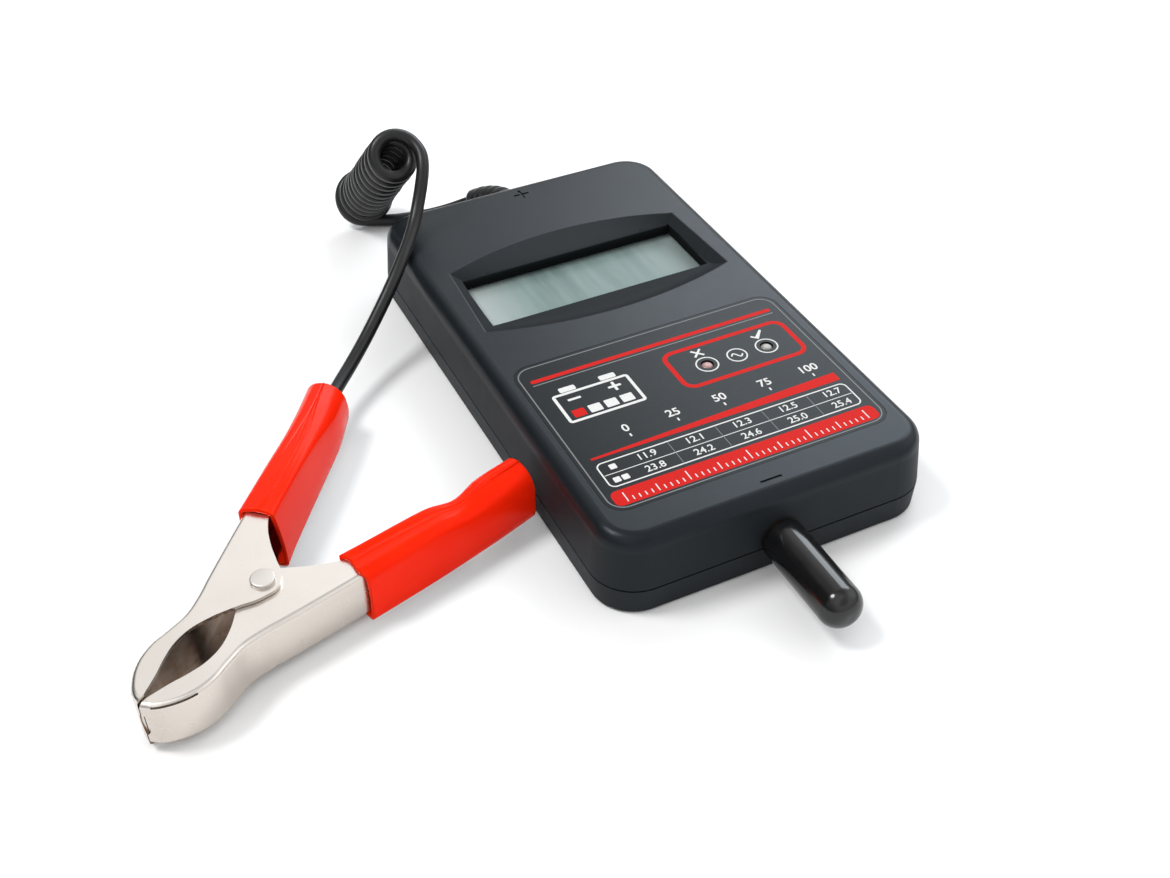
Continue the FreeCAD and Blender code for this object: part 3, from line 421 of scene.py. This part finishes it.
M = {
    "case": case_plastic(),
    "film": label_film(),
    "lcd": lcd_glass(),
    "lens": lens_clear(),
    "cord": rubber("cord_jacket", (0.0085, 0.0085, 0.009), 0.36, 0.08, 0.38),
    "boot": rubber("boot_rubber", (0.012, 0.012, 0.013), 0.34),
    "cap": vinyl_black(),
    "grip": vinyl_red(),
    "corded": nickel("clamp_nickel", (0.705, 0.658, 0.610), (0.755, 0.712, 0.670), 0.25, 0.29, 1),
    "free": nickel("clamp_nickel_free", (0.705, 0.658, 0.610), (0.755, 0.712, 0.670), 0.25, 0.29, -1),
    "rivet": nickel("rivet_nickel", (0.60, 0.565, 0.53), (0.65, 0.615, 0.58), 0.46, 0.52),
    "brass": brass(),
    "spring": plain("spring_steel", (0.42, 0.42, 0.42), 0.32, metal=1.0, bump=0.1),
    "screw": plain("screw_steel", (0.52, 0.52, 0.53), 0.34, metal=1.0, bump=0.1),
    "tin": plain("terminal_tin", (0.66, 0.66, 0.64), 0.36, metal=1.0),
    "copper": plain("copper", (0.72, 0.38, 0.22), 0.35, metal=1.0),
    "inner": plain("inner_plastic", (0.62, 0.62, 0.60), 0.5, bump=0.1),
    "elastomer": plain("elastomer", (0.55, 0.36, 0.38), 0.6),
    "board": plain("board_laminate", (0.012, 0.12, 0.045), 0.4, bump=0.15),
    "epoxy": plain("chip_epoxy", (0.018, 0.018, 0.018), 0.55, bump=0.1),
    "can": plain("capacitor_can", (0.62, 0.63, 0.66), 0.3, metal=1.0),
    "resistor": plain("resistor_body", (0.05, 0.05, 0.05), 0.5),
    "trimmer": plain("trimmer_plastic", (0.03, 0.09, 0.36), 0.45),
    "insul": plain("wire_insulation", (0.012, 0.012, 0.012), 0.35),
    "lamp_a": plain("lamp_lens_fail", (0.34, 0.19, 0.18), 0.28),
    "lamp_b": plain("lamp_lens_pass", (0.26, 0.25, 0.23), 0.28),
    "white_ink": ink("ink_white", (0.66, 0.66, 0.65)),
    "red_ink": ink("ink_red", (0.54, 0.011, 0.008)),
    "grey_ink": ink("ink_grey", (0.20, 0.205, 0.21)),
}
LOOK = {
    "upper_shell": "case", "lower_shell": "case", "face_label": "film", "display_lens": "lens", "lcd_panel": "lcd",
    "lcd_frame": "inner", "lcd_contact_strips": "elastomer", "circuit_board": "board", "board_screws": "screw",
    "controller_chip": "epoxy", "voltage_regulator": "epoxy", "board_capacitors": "can", "board_resistors": "resistor",
    "protection_diode": "epoxy", "calibration_trimmer": "trimmer", "fail_lamp": "lamp_a", "pass_lamp": "lamp_b",
    "case_screws": "screw", "probe_pin": "brass", "probe_terminal": "tin", "probe_nut": "screw", "probe_wire": "insul",
    "probe_cap": "cap", "strain_relief": "boot", "cord_inner": "cord", "cord_core": "copper", "cord_tail": "cord",
    "cord_coil": "cord", "cord_lead": "cord", "lead_crimp": "tin", "corded_jaw": "corded", "free_jaw": "free",
    "jaw_rivet": "rivet", "jaw_spring": "spring", "corded_grip": "grip", "free_grip": "grip",
}
for node, look in LOOK.items():
    paint(NODES[node], M[look])
paint(cord, M["cord"])
NODES["display_lens"].visible_shadow = False
NODES["display_lens"].visible_diffuse = False
NODES["display_lens"].visible_glossy = False


# ------------------------------------------------------------------ mesh helpers
def add_object(name, bm, mat, smooth=False):
    bmesh.ops.recalc_face_normals(bm, faces=bm.faces)
    me = bpy.data.meshes.new(name)
    bm.to_mesh(me)
    bm.free()
    if smooth:
        me.polygons.foreach_set("use_smooth", [True] * len(me.polygons))
    ob = bpy.data.objects.new(name, me)
    bpy.context.scene.collection.objects.link(ob)
    paint(ob, mat)
    return ob


def bridge(bm, a, b):
    n = len(a)
    for i in range(n):
        j = (i + 1) % n
        bm.faces.new((a[i], a[j], b[j], b[i]))


# ------------------------------------------------------------------ print on the face label
PRINT_Z = 20.372


def plate(bm, loop, top):
    """Closed flat prism of one outline, millimetres."""
    lo = [bm.verts.new((x * MM, y * MM, PRINT_Z * MM)) for x, y in loop]
    hi = [bm.verts.new((x * MM, y * MM, top * MM)) for x, y in loop]
    bm.faces.new(hi)
    bm.faces.new(lo[::-1])
    bridge(bm, lo, hi)


def frame_plate(bm, outer, inner, top):
    """Closed flat band between two outlines with equal point counts."""
    o0 = [bm.verts.new((x * MM, y * MM, PRINT_Z * MM)) for x, y in outer]
    o1 = [bm.verts.new((x * MM, y * MM, top * MM)) for x, y in outer]
    i0 = [bm.verts.new((x * MM, y * MM, PRINT_Z * MM)) for x, y in inner]
    i1 = [bm.verts.new((x * MM, y * MM, top * MM)) for x, y in inner]
    bridge(bm, o0, o1)
    bridge(bm, o1, i1)
    bridge(bm, i1, i0)
    bridge(bm, i0, o0)


def rr(x0, x1, y0, y1, r, n=8):
    out = []
    for cx, cy, a in ((x1 - r, y0 + r, -90), (x1 - r, y1 - r, 0), (x0 + r, y1 - r, 90), (x0 + r, y0 + r, 180)):
        for k in range(n + 1):
            t = math.radians(a + 90.0 * k / n)
            out.append((cx + r * math.cos(t), cy + r * math.sin(t)))
    return out


def rr_line(bm, x0, x1, y0, y1, r, w, top):
    frame_plate(bm, rr(x0, x1, y0, y1, r), rr(x0 + w, x1 - w, y0 + w, y1 - w, max(r - w, 0.05)), top)


def disc(cx, cy, r, n=40):
    return [(cx + r * math.cos(2 * math.pi * k / n), cy + r * math.sin(2 * math.pi * k / n)) for k in range(n)]


def stroke(bm, pts, w, top):
    """Band of even width along an open line."""
    left, right = [], []
    for k, p in enumerate(pts):
        a = Vector(pts[max(k - 1, 0)])
        b = Vector(pts[min(k + 1, len(pts) - 1)])
        d = (b - a).normalized()
        m = 1.0
        if 0 < k < len(pts) - 1:
            e = (Vector(p) - a).normalized()
            m = 1.0 / max(0.5, d.dot(e))
        nrm = Vector((-d.y, d.x)) * w / 2 * m
        left.append((p[0] + nrm.x, p[1] + nrm.y))
        right.append((p[0] - nrm.x, p[1] - nrm.y))
    for k in range(len(pts) - 1):
        plate(bm, [right[k], right[k + 1], left[k + 1], left[k]], top)


def numerals(bm, text, x, y, size, top, bold=0.012):
    cu = bpy.data.curves.new("numerals", "FONT")
    cu.body = text
    cu.align_x, cu.align_y = "CENTER", "CENTER"
    cu.size = 1.0
    cu.extrude = 0.5
    cu.offset = bold
    cu.resolution_u = 5
    ob = bpy.data.objects.new("numerals", cu)
    bpy.context.scene.collection.objects.link(ob)
    me = bpy.data.meshes.new_from_object(ob)
    bpy.data.objects.remove(ob)
    bpy.data.curves.remove(cu)
    sub = bmesh.new()
    sub.from_mesh(me)
    bpy.data.meshes.remove(me)
    bmesh.ops.remove_doubles(sub, verts=sub.verts, dist=1e-5)
    half = (top - PRINT_Z) / 2
    for v in sub.verts:
        v.co = ((x + v.co.x * size) * MM, (y + v.co.y * size) * MM, (PRINT_Z + half + v.co.z * 2 * half) * MM)
    done = {v: bm.verts.new(v.co) for v in sub.verts}
    for f in sub.faces:
        bm.faces.new([done[v] for v in f.verts])
    sub.free()


def label_print():
    red, white, grey = bmesh.new(), bmesh.new(), bmesh.new()
    A, B = 20.392, 20.400
    rr_line(grey, -33.6, 33.6, -58.7, -7.3, 3.8, 0.28, A)
    # stripe under the upper edge
    plate(red, rr(-31.4, 31.4, -13.2, -12.0, 0.5), A)
    plate(grey, rr(-31.4, 31.4, -14.15, -13.85, 0.1), A)
    # box around the two lamps, with lamp rings and their signs
    rr_line(red, -1.2, 31.4, -31.0, -16.6, 3.2, 1.15, A)
    for cx, cy in ((7.5, -24.5), (23.2, -24.6)):
        frame_plate(white, disc(cx, cy, 2.75), disc(cx, cy, 2.4), A)
    for a, b in (((6.3, -21.05), (8.7, -18.65)), ((6.3, -18.65), (8.7, -21.05))):
        stroke(white, [a, b], 0.55, A if a[1] < -20 else B)
    stroke(white, [(21.7, -19.9), (22.8, -21.0), (25.0, -18.6)], 0.55, A)
    frame_plate(white, disc(15.35, -24.55, 2.5), disc(15.35, -24.55, 2.15), A)
    stroke(white, [(13.95 + 0.14 * k, -24.55 + 0.75 * math.sin(2 * math.pi * k / 20)) for k in range(21)], 0.38, A)
    # battery sign
    rr_line(white, -29.5, -10.5, -29.6, -19.2, 0.9, 0.75, A)
    for x0 in (-27.0, -17.0):
        plate(white, rr(x0, x0 + 4.0, -19.0, -17.3, 0.4), A)
    plate(white, rr(-26.6, -23.4, -22.35, -21.65, 0.2), A)
    plate(white, rr(-16.6, -13.4, -22.35, -21.65, 0.2), A)
    plate(white, rr(-15.35, -14.65, -23.6, -20.4, 0.2), B)
    for k in range(4):
        plate(red if k < 1 else white, rr(-27.6 + 3.95 * k, -24.6 + 3.95 * k, -28.2, -25.6, 0.25), A)
    # percentage row, wedge and table
    cols = (-19.5, -7.8, 3.9, 15.6, 27.0)
    for x, s in zip(cols, ("0", "25", "50", "75", "100")):
        numerals(white, s, x, -36.2, 3.3, A, 0.018)
        plate(white, rr(x - 0.2, x + 0.2, -39.2, -38.2, 0.1), A)
    plate(red, [(-30.8, -42.5), (31.4, -42.9), (31.4, -40.0), (-30.8, -41.9)], A)
    rr_line(white, -31.0, 31.4, -52.2, -44.0, 1.6, 0.34, A)
    plate(white, rr(-30.5, 30.9, -48.2, -48.0, 0.05), A)
    for k, x in enumerate(cols[:-1]):
        plate(grey, rr((x + cols[k + 1]) / 2 - 0.08, (x + cols[k + 1]) / 2 + 0.08, -51.6, -44.6, 0.03), A)
    for x, a, b in zip(cols, ("11.9", "12.1", "12.3", "12.5", "12.7"), ("23.8", "24.2", "24.6", "25.0", "25.4")):
        numerals(white, a, x, -46.05, 2.75, A)
        numerals(white, b, x, -50.15, 2.75, A)
    plate(white, rr(-28.4, -26.8, -46.9, -45.3, 0.25), A)
    plate(white, rr(-29.4, -27.8, -50.95, -49.35, 0.25), A)
    plate(white, rr(-27.4, -25.8, -50.95, -49.35, 0.25), A)
    # lower band with a plain graduation
    plate(red, rr(-32.3, 32.3, -57.9, -53.2, 1.6), A)
    for k in range(41):
        x = -29.5 + 59.0 * k / 40
        plate(white, rr(x - 0.13, x + 0.13, -57.1, -54.2 if k % 10 == 0 else (-54.9 if k % 5 == 0 else -55.9), 0.05, 2), B)
    for name, bm in (("label_print_red", red), ("label_print_white", white), ("label_print_grey", grey)):
        ob = add_object(name, bm, M[{"red": "red_ink", "white": "white_ink", "grey": "grey_ink"}[name.split("_")[-1]]])
        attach(ob, "tester")


label_print()

# ------------------------------------------------------------------ clamp frame
PIVOT = (-102.2, -38.9)
CA, SA = math.cos(math.radians(33.6)), math.sin(math.radians(33.6))
HD = (math.cos(math.radians(17.6)), math.sin(math.radians(17.6)))
H0 = (10.9, 15.8)


def clamp_point(u, v, z):
    """Point of the clamp's own frame: u along its middle line, v to the left."""
    return Vector(((PIVOT[0] + u * CA - v * SA) * MM, (PIVOT[1] + u * SA + v * CA) * MM, z * MM))


def handle_point(s, off, z, side):
    """Point on a handle: s along its back, off outwards."""
    return clamp_point(H0[0] + HD[0] * s - HD[1] * off, side * (H0[1] + HD[1] * s + HD[0] * off), z)


# ------------------------------------------------------------------ handle sleeves
def rows_at(rows, t):
    """Smooth values between table rows."""
    ts = [r[0] for r in rows]
    k = min(max(int(np.searchsorted(ts, t, side="right")) - 1, 0), len(ts) - 2)

    def slope(j):
        a, b = max(j - 1, 0), min(j + 1, len(ts) - 1)
        return (np.array(rows[b][1:]) - np.array(rows[a][1:])) / (ts[b] - ts[a])

    h = ts[k + 1] - ts[k]
    x = (t - ts[k]) / h
    p, q = np.array(rows[k][1:]), np.array(rows[k + 1][1:])
    return (p * (1 + 2 * x) * (1 - x) ** 2 + slope(k) * h * x * (1 - x) ** 2 + q * x * x * (3 - 2 * x) + slope(k + 1) * h * x * x * (x - 1))


N_TOP, N_IN, N_BOTTOM, N_OUT, N_CORNER = 24, 14, 8, 14, 8


def sleeve_section(v, inset=0.0):
    """Closed outline in (off, z) from the outer-top corner over the top, and a tag for each point."""
    oi, oo, zl, zh, r_ot, r_it, r_ib, r_ob, b_t, b_i, b_b, b_o, lean = v
    oi, oo, zl, zh = oi + inset, oo - inset, zl + inset, zh - inset
    r_ot, r_it, r_ib, r_ob = (max(r - inset, 0.25) for r in (r_ot, r_it, r_ib, r_ob))
    out = []

    def side(p, q, n, bulge, nrm, tag):
        for k in range(n):
            x = k / n
            b = bulge * (1 - (2 * x - 1) ** 2)
            out.append((p[0] + (q[0] - p[0]) * x + nrm[0] * b, p[1] + (q[1] - p[1]) * x + nrm[1] * b, tag, x))

    def corner(cx, cy, r, a0, tag):
        for k in range(N_CORNER):
            a = math.radians(a0 + 90.0 * k / N_CORNER)
            out.append((cx + r * math.cos(a), cy + r * math.sin(a), tag, k / N_CORNER))

    side((oo - r_ot, zh), (oi + r_it, zh), N_TOP, b_t, (0, 1), "top")
    corner(oi + r_it, zh - r_it, r_it, 90, "it")
    side((oi, zh - r_it), (oi, zl + r_ib), N_IN, b_i, (-1, 0), "in")
    corner(oi + r_ib, zl + r_ib, r_ib, 180, "ib")
    side((oi + r_ib, zl), (oo - r_ob, zl), N_BOTTOM, b_b, (0, -1), "bottom")
    corner(oo - r_ob, zl + r_ob, r_ob, 270, "ob")
    side((oo, zl + r_ob), (oo, zh - r_ot), N_OUT, b_o, (1, 0), "out")
    corner(oo - r_ot, zh - r_ot, r_ot, 0, "ot")
    res = []
    for o, z, tag, x in out:
        a = min(max((o - oi) / (oo - oi), 0.0), 1.0)
        b = min(max((z - zl) / (zh - zl), 0.0), 1.0)
        o -= lean * (1 - b) * (1 - a) ** 1.5
        res.append((o, z, tag, x, a, b))
    return res


def sleeve(name, side, s0, s1, rows, mouth, crease, wall=0.9, n=64):
    """Thin vinyl sleeve, open at both ends with rounded rims."""
    def loop(t, inset, ds):
        v = rows_at(rows, t)
        sec = sleeve_section(v, inset)
        m = len(sec)
        pts = []
        for k, (o, z, tag, x, a, b) in enumerate(sec):
            p, q = sec[k - 1], sec[(k + 1) % m]
            d = Vector((q[0] - p[0], q[1] - p[1])).normalized()
            nrm = (d.y, -d.x)
            g = crease(t, tag, x, a, b)
            sh = mouth(a, b) * max(0.0, 1 - t / 0.22) ** 2
            o2, z2 = o + nrm[0] * -g, z + nrm[1] * -g
            pts.append(handle_point(s0 + (s1 - s0) * t + sh + ds, o2, max(z2, 0.05), side))
        return pts

    bm = bmesh.new()
    ts = [0.5 - 0.5 * math.cos(math.pi * (0.04 + 0.92 * k / (n - 1))) for k in range(n)]
    ts = [(t - ts[0]) / (ts[-1] - ts[0]) for t in ts]
    loops = [loop(t, 0.0, 0.32 if k == 0 else (-0.32 if k == n - 1 else 0.0)) for k, t in enumerate(ts)]
    loops += [loop(1.0, 0.16, -0.06), loop(1.0, wall / 2, 0.0), loop(1.0, wall - 0.16, -0.06)]
    loops += [loop(t, wall, 0.32 if t == 0 else (-0.32 if t == 1 else 0.0)) for t in ts[::-1]]
    loops += [loop(0.0, wall - 0.16, 0.06), loop(0.0, wall / 2, 0.0), loop(0.0, 0.16, 0.06)]
    rings = [[bm.verts.new(p) for p in lp] for lp in loops]
    for k in range(len(rings)):
        bridge(bm, rings[k], rings[(k + 1) % len(rings)])
    return add_object(name, bm, M["grip"], True)


def gauss(x, w):
    return math.exp(-(x / w) ** 2)


def crease_corded(t, tag, x, a, b):
    g = 0.0
    if tag == "top":
        q = 0.52 + 0.07 * math.sin(5.2 * t + 0.4) + 0.03 * math.sin(15.0 * t)
        edge = min(1.0, t / 0.05) * min(1.0, (1 - t) / 0.03)
        g -= 0.24 * gauss(x - q, 0.055) * edge
        g += 0.17 * gauss(x - q - 0.16, 0.10) * edge
        g += 0.07 * gauss(x - 0.22, 0.10) * math.sin(7.0 * t + 1.0)
    if tag in ("it", "in"):
        g += 0.10 * math.sin(8.5 * t + 2.0 * b) * math.sin(math.pi * min(1.0, t * 1.1))
    if tag in ("out", "ot"):
        g += 0.06 * math.sin(6.0 * t + 3.0 * b)
    return g


def crease_free(t, tag, x, a, b):
    g = 0.0
    if tag == "top":
        q = 0.42 + 0.10 * math.sin(4.0 * t + 0.9) + 0.03 * math.sin(13.0 * t)
        edge = min(1.0, t / 0.05) * min(1.0, (1 - t) / 0.03)
        g -= 0.14 * gauss(x - q, 0.07) * edge
        g += 0.09 * gauss(x - q - 0.20, 0.10) * edge
        g -= 0.10 * gauss(x - 0.80, 0.08) * gauss(t - 0.72, 0.22)
    if tag == "out":
        g += 0.10 * math.sin(5.0 * t + 2.2 * b) * math.sin(math.pi * b)
    if tag == "in":
        g += 0.10 * math.sin(7.0 * t + 2.0 * b)
    return g


#        t     inner  outer  low   high   radii ot it ib ob       bulge top in bottom out   lean
CORDED = [
    (0.00, -6.95, 1.15, 0.10, 15.15, 1.5, 0.9, 1.3, 1.4, 0.35, 0.35, 0.0, 0.10, 1.70),
    (0.12, -6.85, 1.20, 0.10, 15.12, 1.8, 0.95, 1.4, 1.6, 0.45, 0.35, 0.0, 0.15, 1.20),
    (0.35, -6.75, 1.35, 0.15, 15.10, 2.4, 1.1, 1.6, 2.0, 0.58, 0.30, 0.0, 0.20, 0.70),
    (0.58, -6.80, 1.70, 0.25, 14.95, 3.2, 2.2, 2.4, 2.6, 0.55, 0.30, 0.0, 0.25, 0.40),
    (0.80, -6.90, 2.90, 0.35, 14.60, 4.4, 4.2, 3.8, 4.0, 0.40, 0.30, 0.0, 0.30, 0.20),
    (1.00, -5.90, 4.20, 0.60, 13.90, 4.9, 4.9, 4.6, 4.6, 0.20, 0.20, 0.0, 0.20, 0.00),
]
FREE = [
    (0.00, -7.50, 1.25, 0.45, 14.40, 2.6, 0.9, 1.3, 1.0, -0.20, 0.20, 0.0, 0.15, 0.30),
    (0.12, -7.30, 1.30, 0.40, 14.40, 2.6, 1.0, 1.4, 1.1, -0.25, 0.20, 0.0, 0.15, 0.30),
    (0.35, -7.00, 1.35, 0.30, 14.50, 2.6, 1.2, 1.6, 1.3, -0.20, 0.30, 0.0, 0.20, 0.20),
    (0.48, -6.85, 1.40, 0.30, 14.35, 2.7, 1.5, 2.0, 1.6, -0.15, 0.30, 0.0, 0.25, 0.10),
    (0.62, -6.10, 1.45, 0.30, 13.75, 3.0, 2.2, 2.6, 2.0, 0.00, 0.20, 0.0, 0.20, 0.05),
    (0.78, -7.60, 1.70, 0.35, 15.00, 4.2, 3.6, 3.6, 3.0, 0.35, 0.40, 0.0, 0.25, 0.00),
    (1.00, -8.20, 1.85, 0.45, 15.50, 5.0, 4.7, 4.7, 4.4, 0.40, 0.40, 0.0, 0.10, 0.00),
]


def mouth_corded(a, b):
    return 0.25 * math.sin(math.pi * a) * b - 0.5 * (1 - a) * (1 - b)


def mouth_free(a, b):
    return -0.9 * (1 - a) ** 2 * b + 0.45 * math.sin(2 * math.pi * min(a, 1.0)) * b ** 4 + 0.3 * a * math.sin(math.pi * b)


sleeve_corded = sleeve("sleeve_corded", 1, 2.2, 47.8, CORDED, mouth_corded, crease_corded)
sleeve_corded.visible_diffuse = False
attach(sleeve_corded, "tester")
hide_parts("corded_grip")
sleeve_free = sleeve("sleeve_free", -1, 0.8, 44.6, FREE, mouth_free, crease_free)
sleeve_free.visible_diffuse = False
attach(sleeve_free, "free_arm")
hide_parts("free_grip")


# ------------------------------------------------------------------ jaw spring
def jaw_spring():
    R, wire, zc, rise = 3.5, 0.6, 7.6, 2.0
    end = (13.0, 14.3)
    phi = math.atan2(end[1], end[0]) + math.acos(R / math.hypot(*end))
    sweep = 2 * (math.pi - phi) + 2 * math.pi * 3
    path = []
    tp = (R * math.cos(phi), R * math.sin(phi))
    for k in range(12):
        x = k / 12
        path.append((end[0] + (tp[0] - end[0]) * x, end[1] + (tp[1] - end[1]) * x, zc - rise))
    n = 120
    for k in range(n + 1):
        a = phi + sweep * k / n
        path.append((R * math.cos(a), R * math.sin(a), zc - rise + 2 * rise * k / n))
    for k in range(1, 13):
        x = k / 12
        path.append((tp[0] + (end[0] - tp[0]) * x, -(tp[1] + (end[1] - tp[1]) * x), zc + rise))
    pts = [clamp_point(*p) for p in path]
    bm = bmesh.new()
    rings = []
    for k, p in enumerate(pts):
        d = (pts[min(k + 1, len(pts) - 1)] - pts[max(k - 1, 0)]).normalized()
        x = d.cross(Z).normalized()
        y = x.cross(d)
        rings.append([bm.verts.new(p + (x * math.cos(a) + y * math.sin(a)) * wire * MM)
                      for a in (2 * math.pi * j / 12 for j in range(12))])
    for a, b in zip(rings, rings[1:]):
        bridge(bm, a, b)
    bm.faces.new(rings[0])
    bm.faces.new(rings[-1])
    ob = add_object("jaw_coil_spring", bm, M["spring"], True)
    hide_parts("jaw_spring")
    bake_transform(ob)


jaw_spring()


# ------------------------------------------------------------------ floor and light
def make_floor():
    me = bpy.data.meshes.new("floor")
    bm = bmesh.new()
    bmesh.ops.create_grid(bm, x_segments=8, y_segments=8, size=4.0)
    bm.to_mesh(me)
    bm.free()
    ob = bpy.data.objects.new("floor", me)
    ob.location = (0, 0, -0.00002)
    bpy.context.scene.collection.objects.link(ob)
    t = Tree("floor_paper")
    col = t.ramp(t.noise(3.0, 3.0), [(0.3, (0.89, 0.89, 0.89)), (0.7, (0.91, 0.91, 0.91))])
    paint(ob, t.set(color=col, rough=0.9, spec=0.1))


def area(name, direction, distance, size, power, color=(1, 1, 1)):
    """Soft box that looks at the object from a direction given as azimuth and elevation."""
    az, el = (math.radians(v) for v in direction)
    target = Vector((-0.03, 0.0, 0.0))
    way = Vector((math.sin(az) * math.cos(el), math.cos(az) * math.cos(el), math.sin(el)))
    d = bpy.data.lights.new(name, "AREA")
    d.shape = "ELLIPSE"
    d.size, d.size_y = size
    d.energy = power
    d.color = color
    ob = bpy.data.objects.new(name, d)
    ob.location = target + way * distance
    ob.rotation_mode = "QUATERNION"
    ob.rotation_quaternion = (-way).to_track_quat("-Z", "Y")
    bpy.context.scene.collection.objects.link(ob)


def make_light():
    w = bpy.data.worlds.new("studio")
    bpy.context.scene.world = w
    w.use_nodes = True
    nt = w.node_tree
    bg = nt.nodes["Background"]
    co = nt.nodes.new("ShaderNodeTexCoord").outputs["Generated"]
    sep = nt.nodes.new("ShaderNodeSeparateXYZ")
    nt.links.new(co, sep.inputs[0])

    def ramp(fac, stops):
        n = nt.nodes.new("ShaderNodeValToRGB")
        n.color_ramp.interpolation = "EASE"
        e = n.color_ramp.elements
        while len(e) < len(stops):
            e.new(0.5)
        for q, (pos, v) in zip(e, stops):
            q.position = pos
            q.color = (v, v, v, 1)
        nt.links.new(fac, n.inputs["Fac"])
        return n.outputs["Color"]

    def add(a, b):
        n = nt.nodes.new("ShaderNodeMath")
        n.operation = "ADD"
        nt.links.new(a, n.inputs[0])
        nt.links.new(b, n.inputs[1])
        return n.outputs[0]

    def patch(az, el, radius, value):
        """Soft round patch of the sky, brighter or darker than the rest."""
        az, el = math.radians(az), math.radians(el)
        d = nt.nodes.new("ShaderNodeVectorMath")
        d.operation = "DOT_PRODUCT"
        d.inputs[1].default_value = (math.sin(az) * math.cos(el), math.cos(az) * math.cos(el), math.sin(el))
        nt.links.new(co, d.inputs[0])
        n = nt.nodes.new("ShaderNodeMapRange")
        n.interpolation_type = "SMOOTHSTEP"
        n.inputs["From Min"].default_value = math.cos(math.radians(radius))
        n.inputs["From Max"].default_value = 1.0
        n.inputs["To Min"].default_value = 0.0
        n.inputs["To Max"].default_value = value
        nt.links.new(d.outputs["Value"], n.inputs["Value"])
        return n.outputs["Result"]

    sky = ramp(sep.outputs["Z"], [(0.0, 0.10), (0.2, 0.25), (0.42, 0.50), (0.7, 0.52), (0.86, 0.42), (1.0, 0.50)])
    for spot in ((24.0, 34.0, 40.0, 0.62), (12.0, 44.0, 17.0, 0.22), (-45.0, 22.0, 42.0, -0.50), (-120.0, 66.0, 40.0, 0.60),
                 (88.0, 34.0, 36.0, 0.80), (165.0, 20.0, 80.0, 0.72), (180.0, 46.0, 30.0, -0.60)):
        sky = add(sky, patch(*spot))
    low = nt.nodes.new("ShaderNodeMath")
    low.operation = "MAXIMUM"
    low.inputs[1].default_value = 0.05
    nt.links.new(sky, low.inputs[0])
    nt.links.new(low.outputs[0], bg.inputs["Color"])
    bg.inputs["Strength"].default_value = 1.0
    area("left_key", (-64.0, 60.0), 1.6, (0.50, 0.50), 12.8)
    area("back_soft", (50.0, 36.0), 1.3, (0.95, 0.60), 7.0, (0.86, 0.94, 1.0))


make_floor()
make_light()
bpy.context.scene.view_settings.view_transform = "Standard"

bpy.context.view_layer.update()
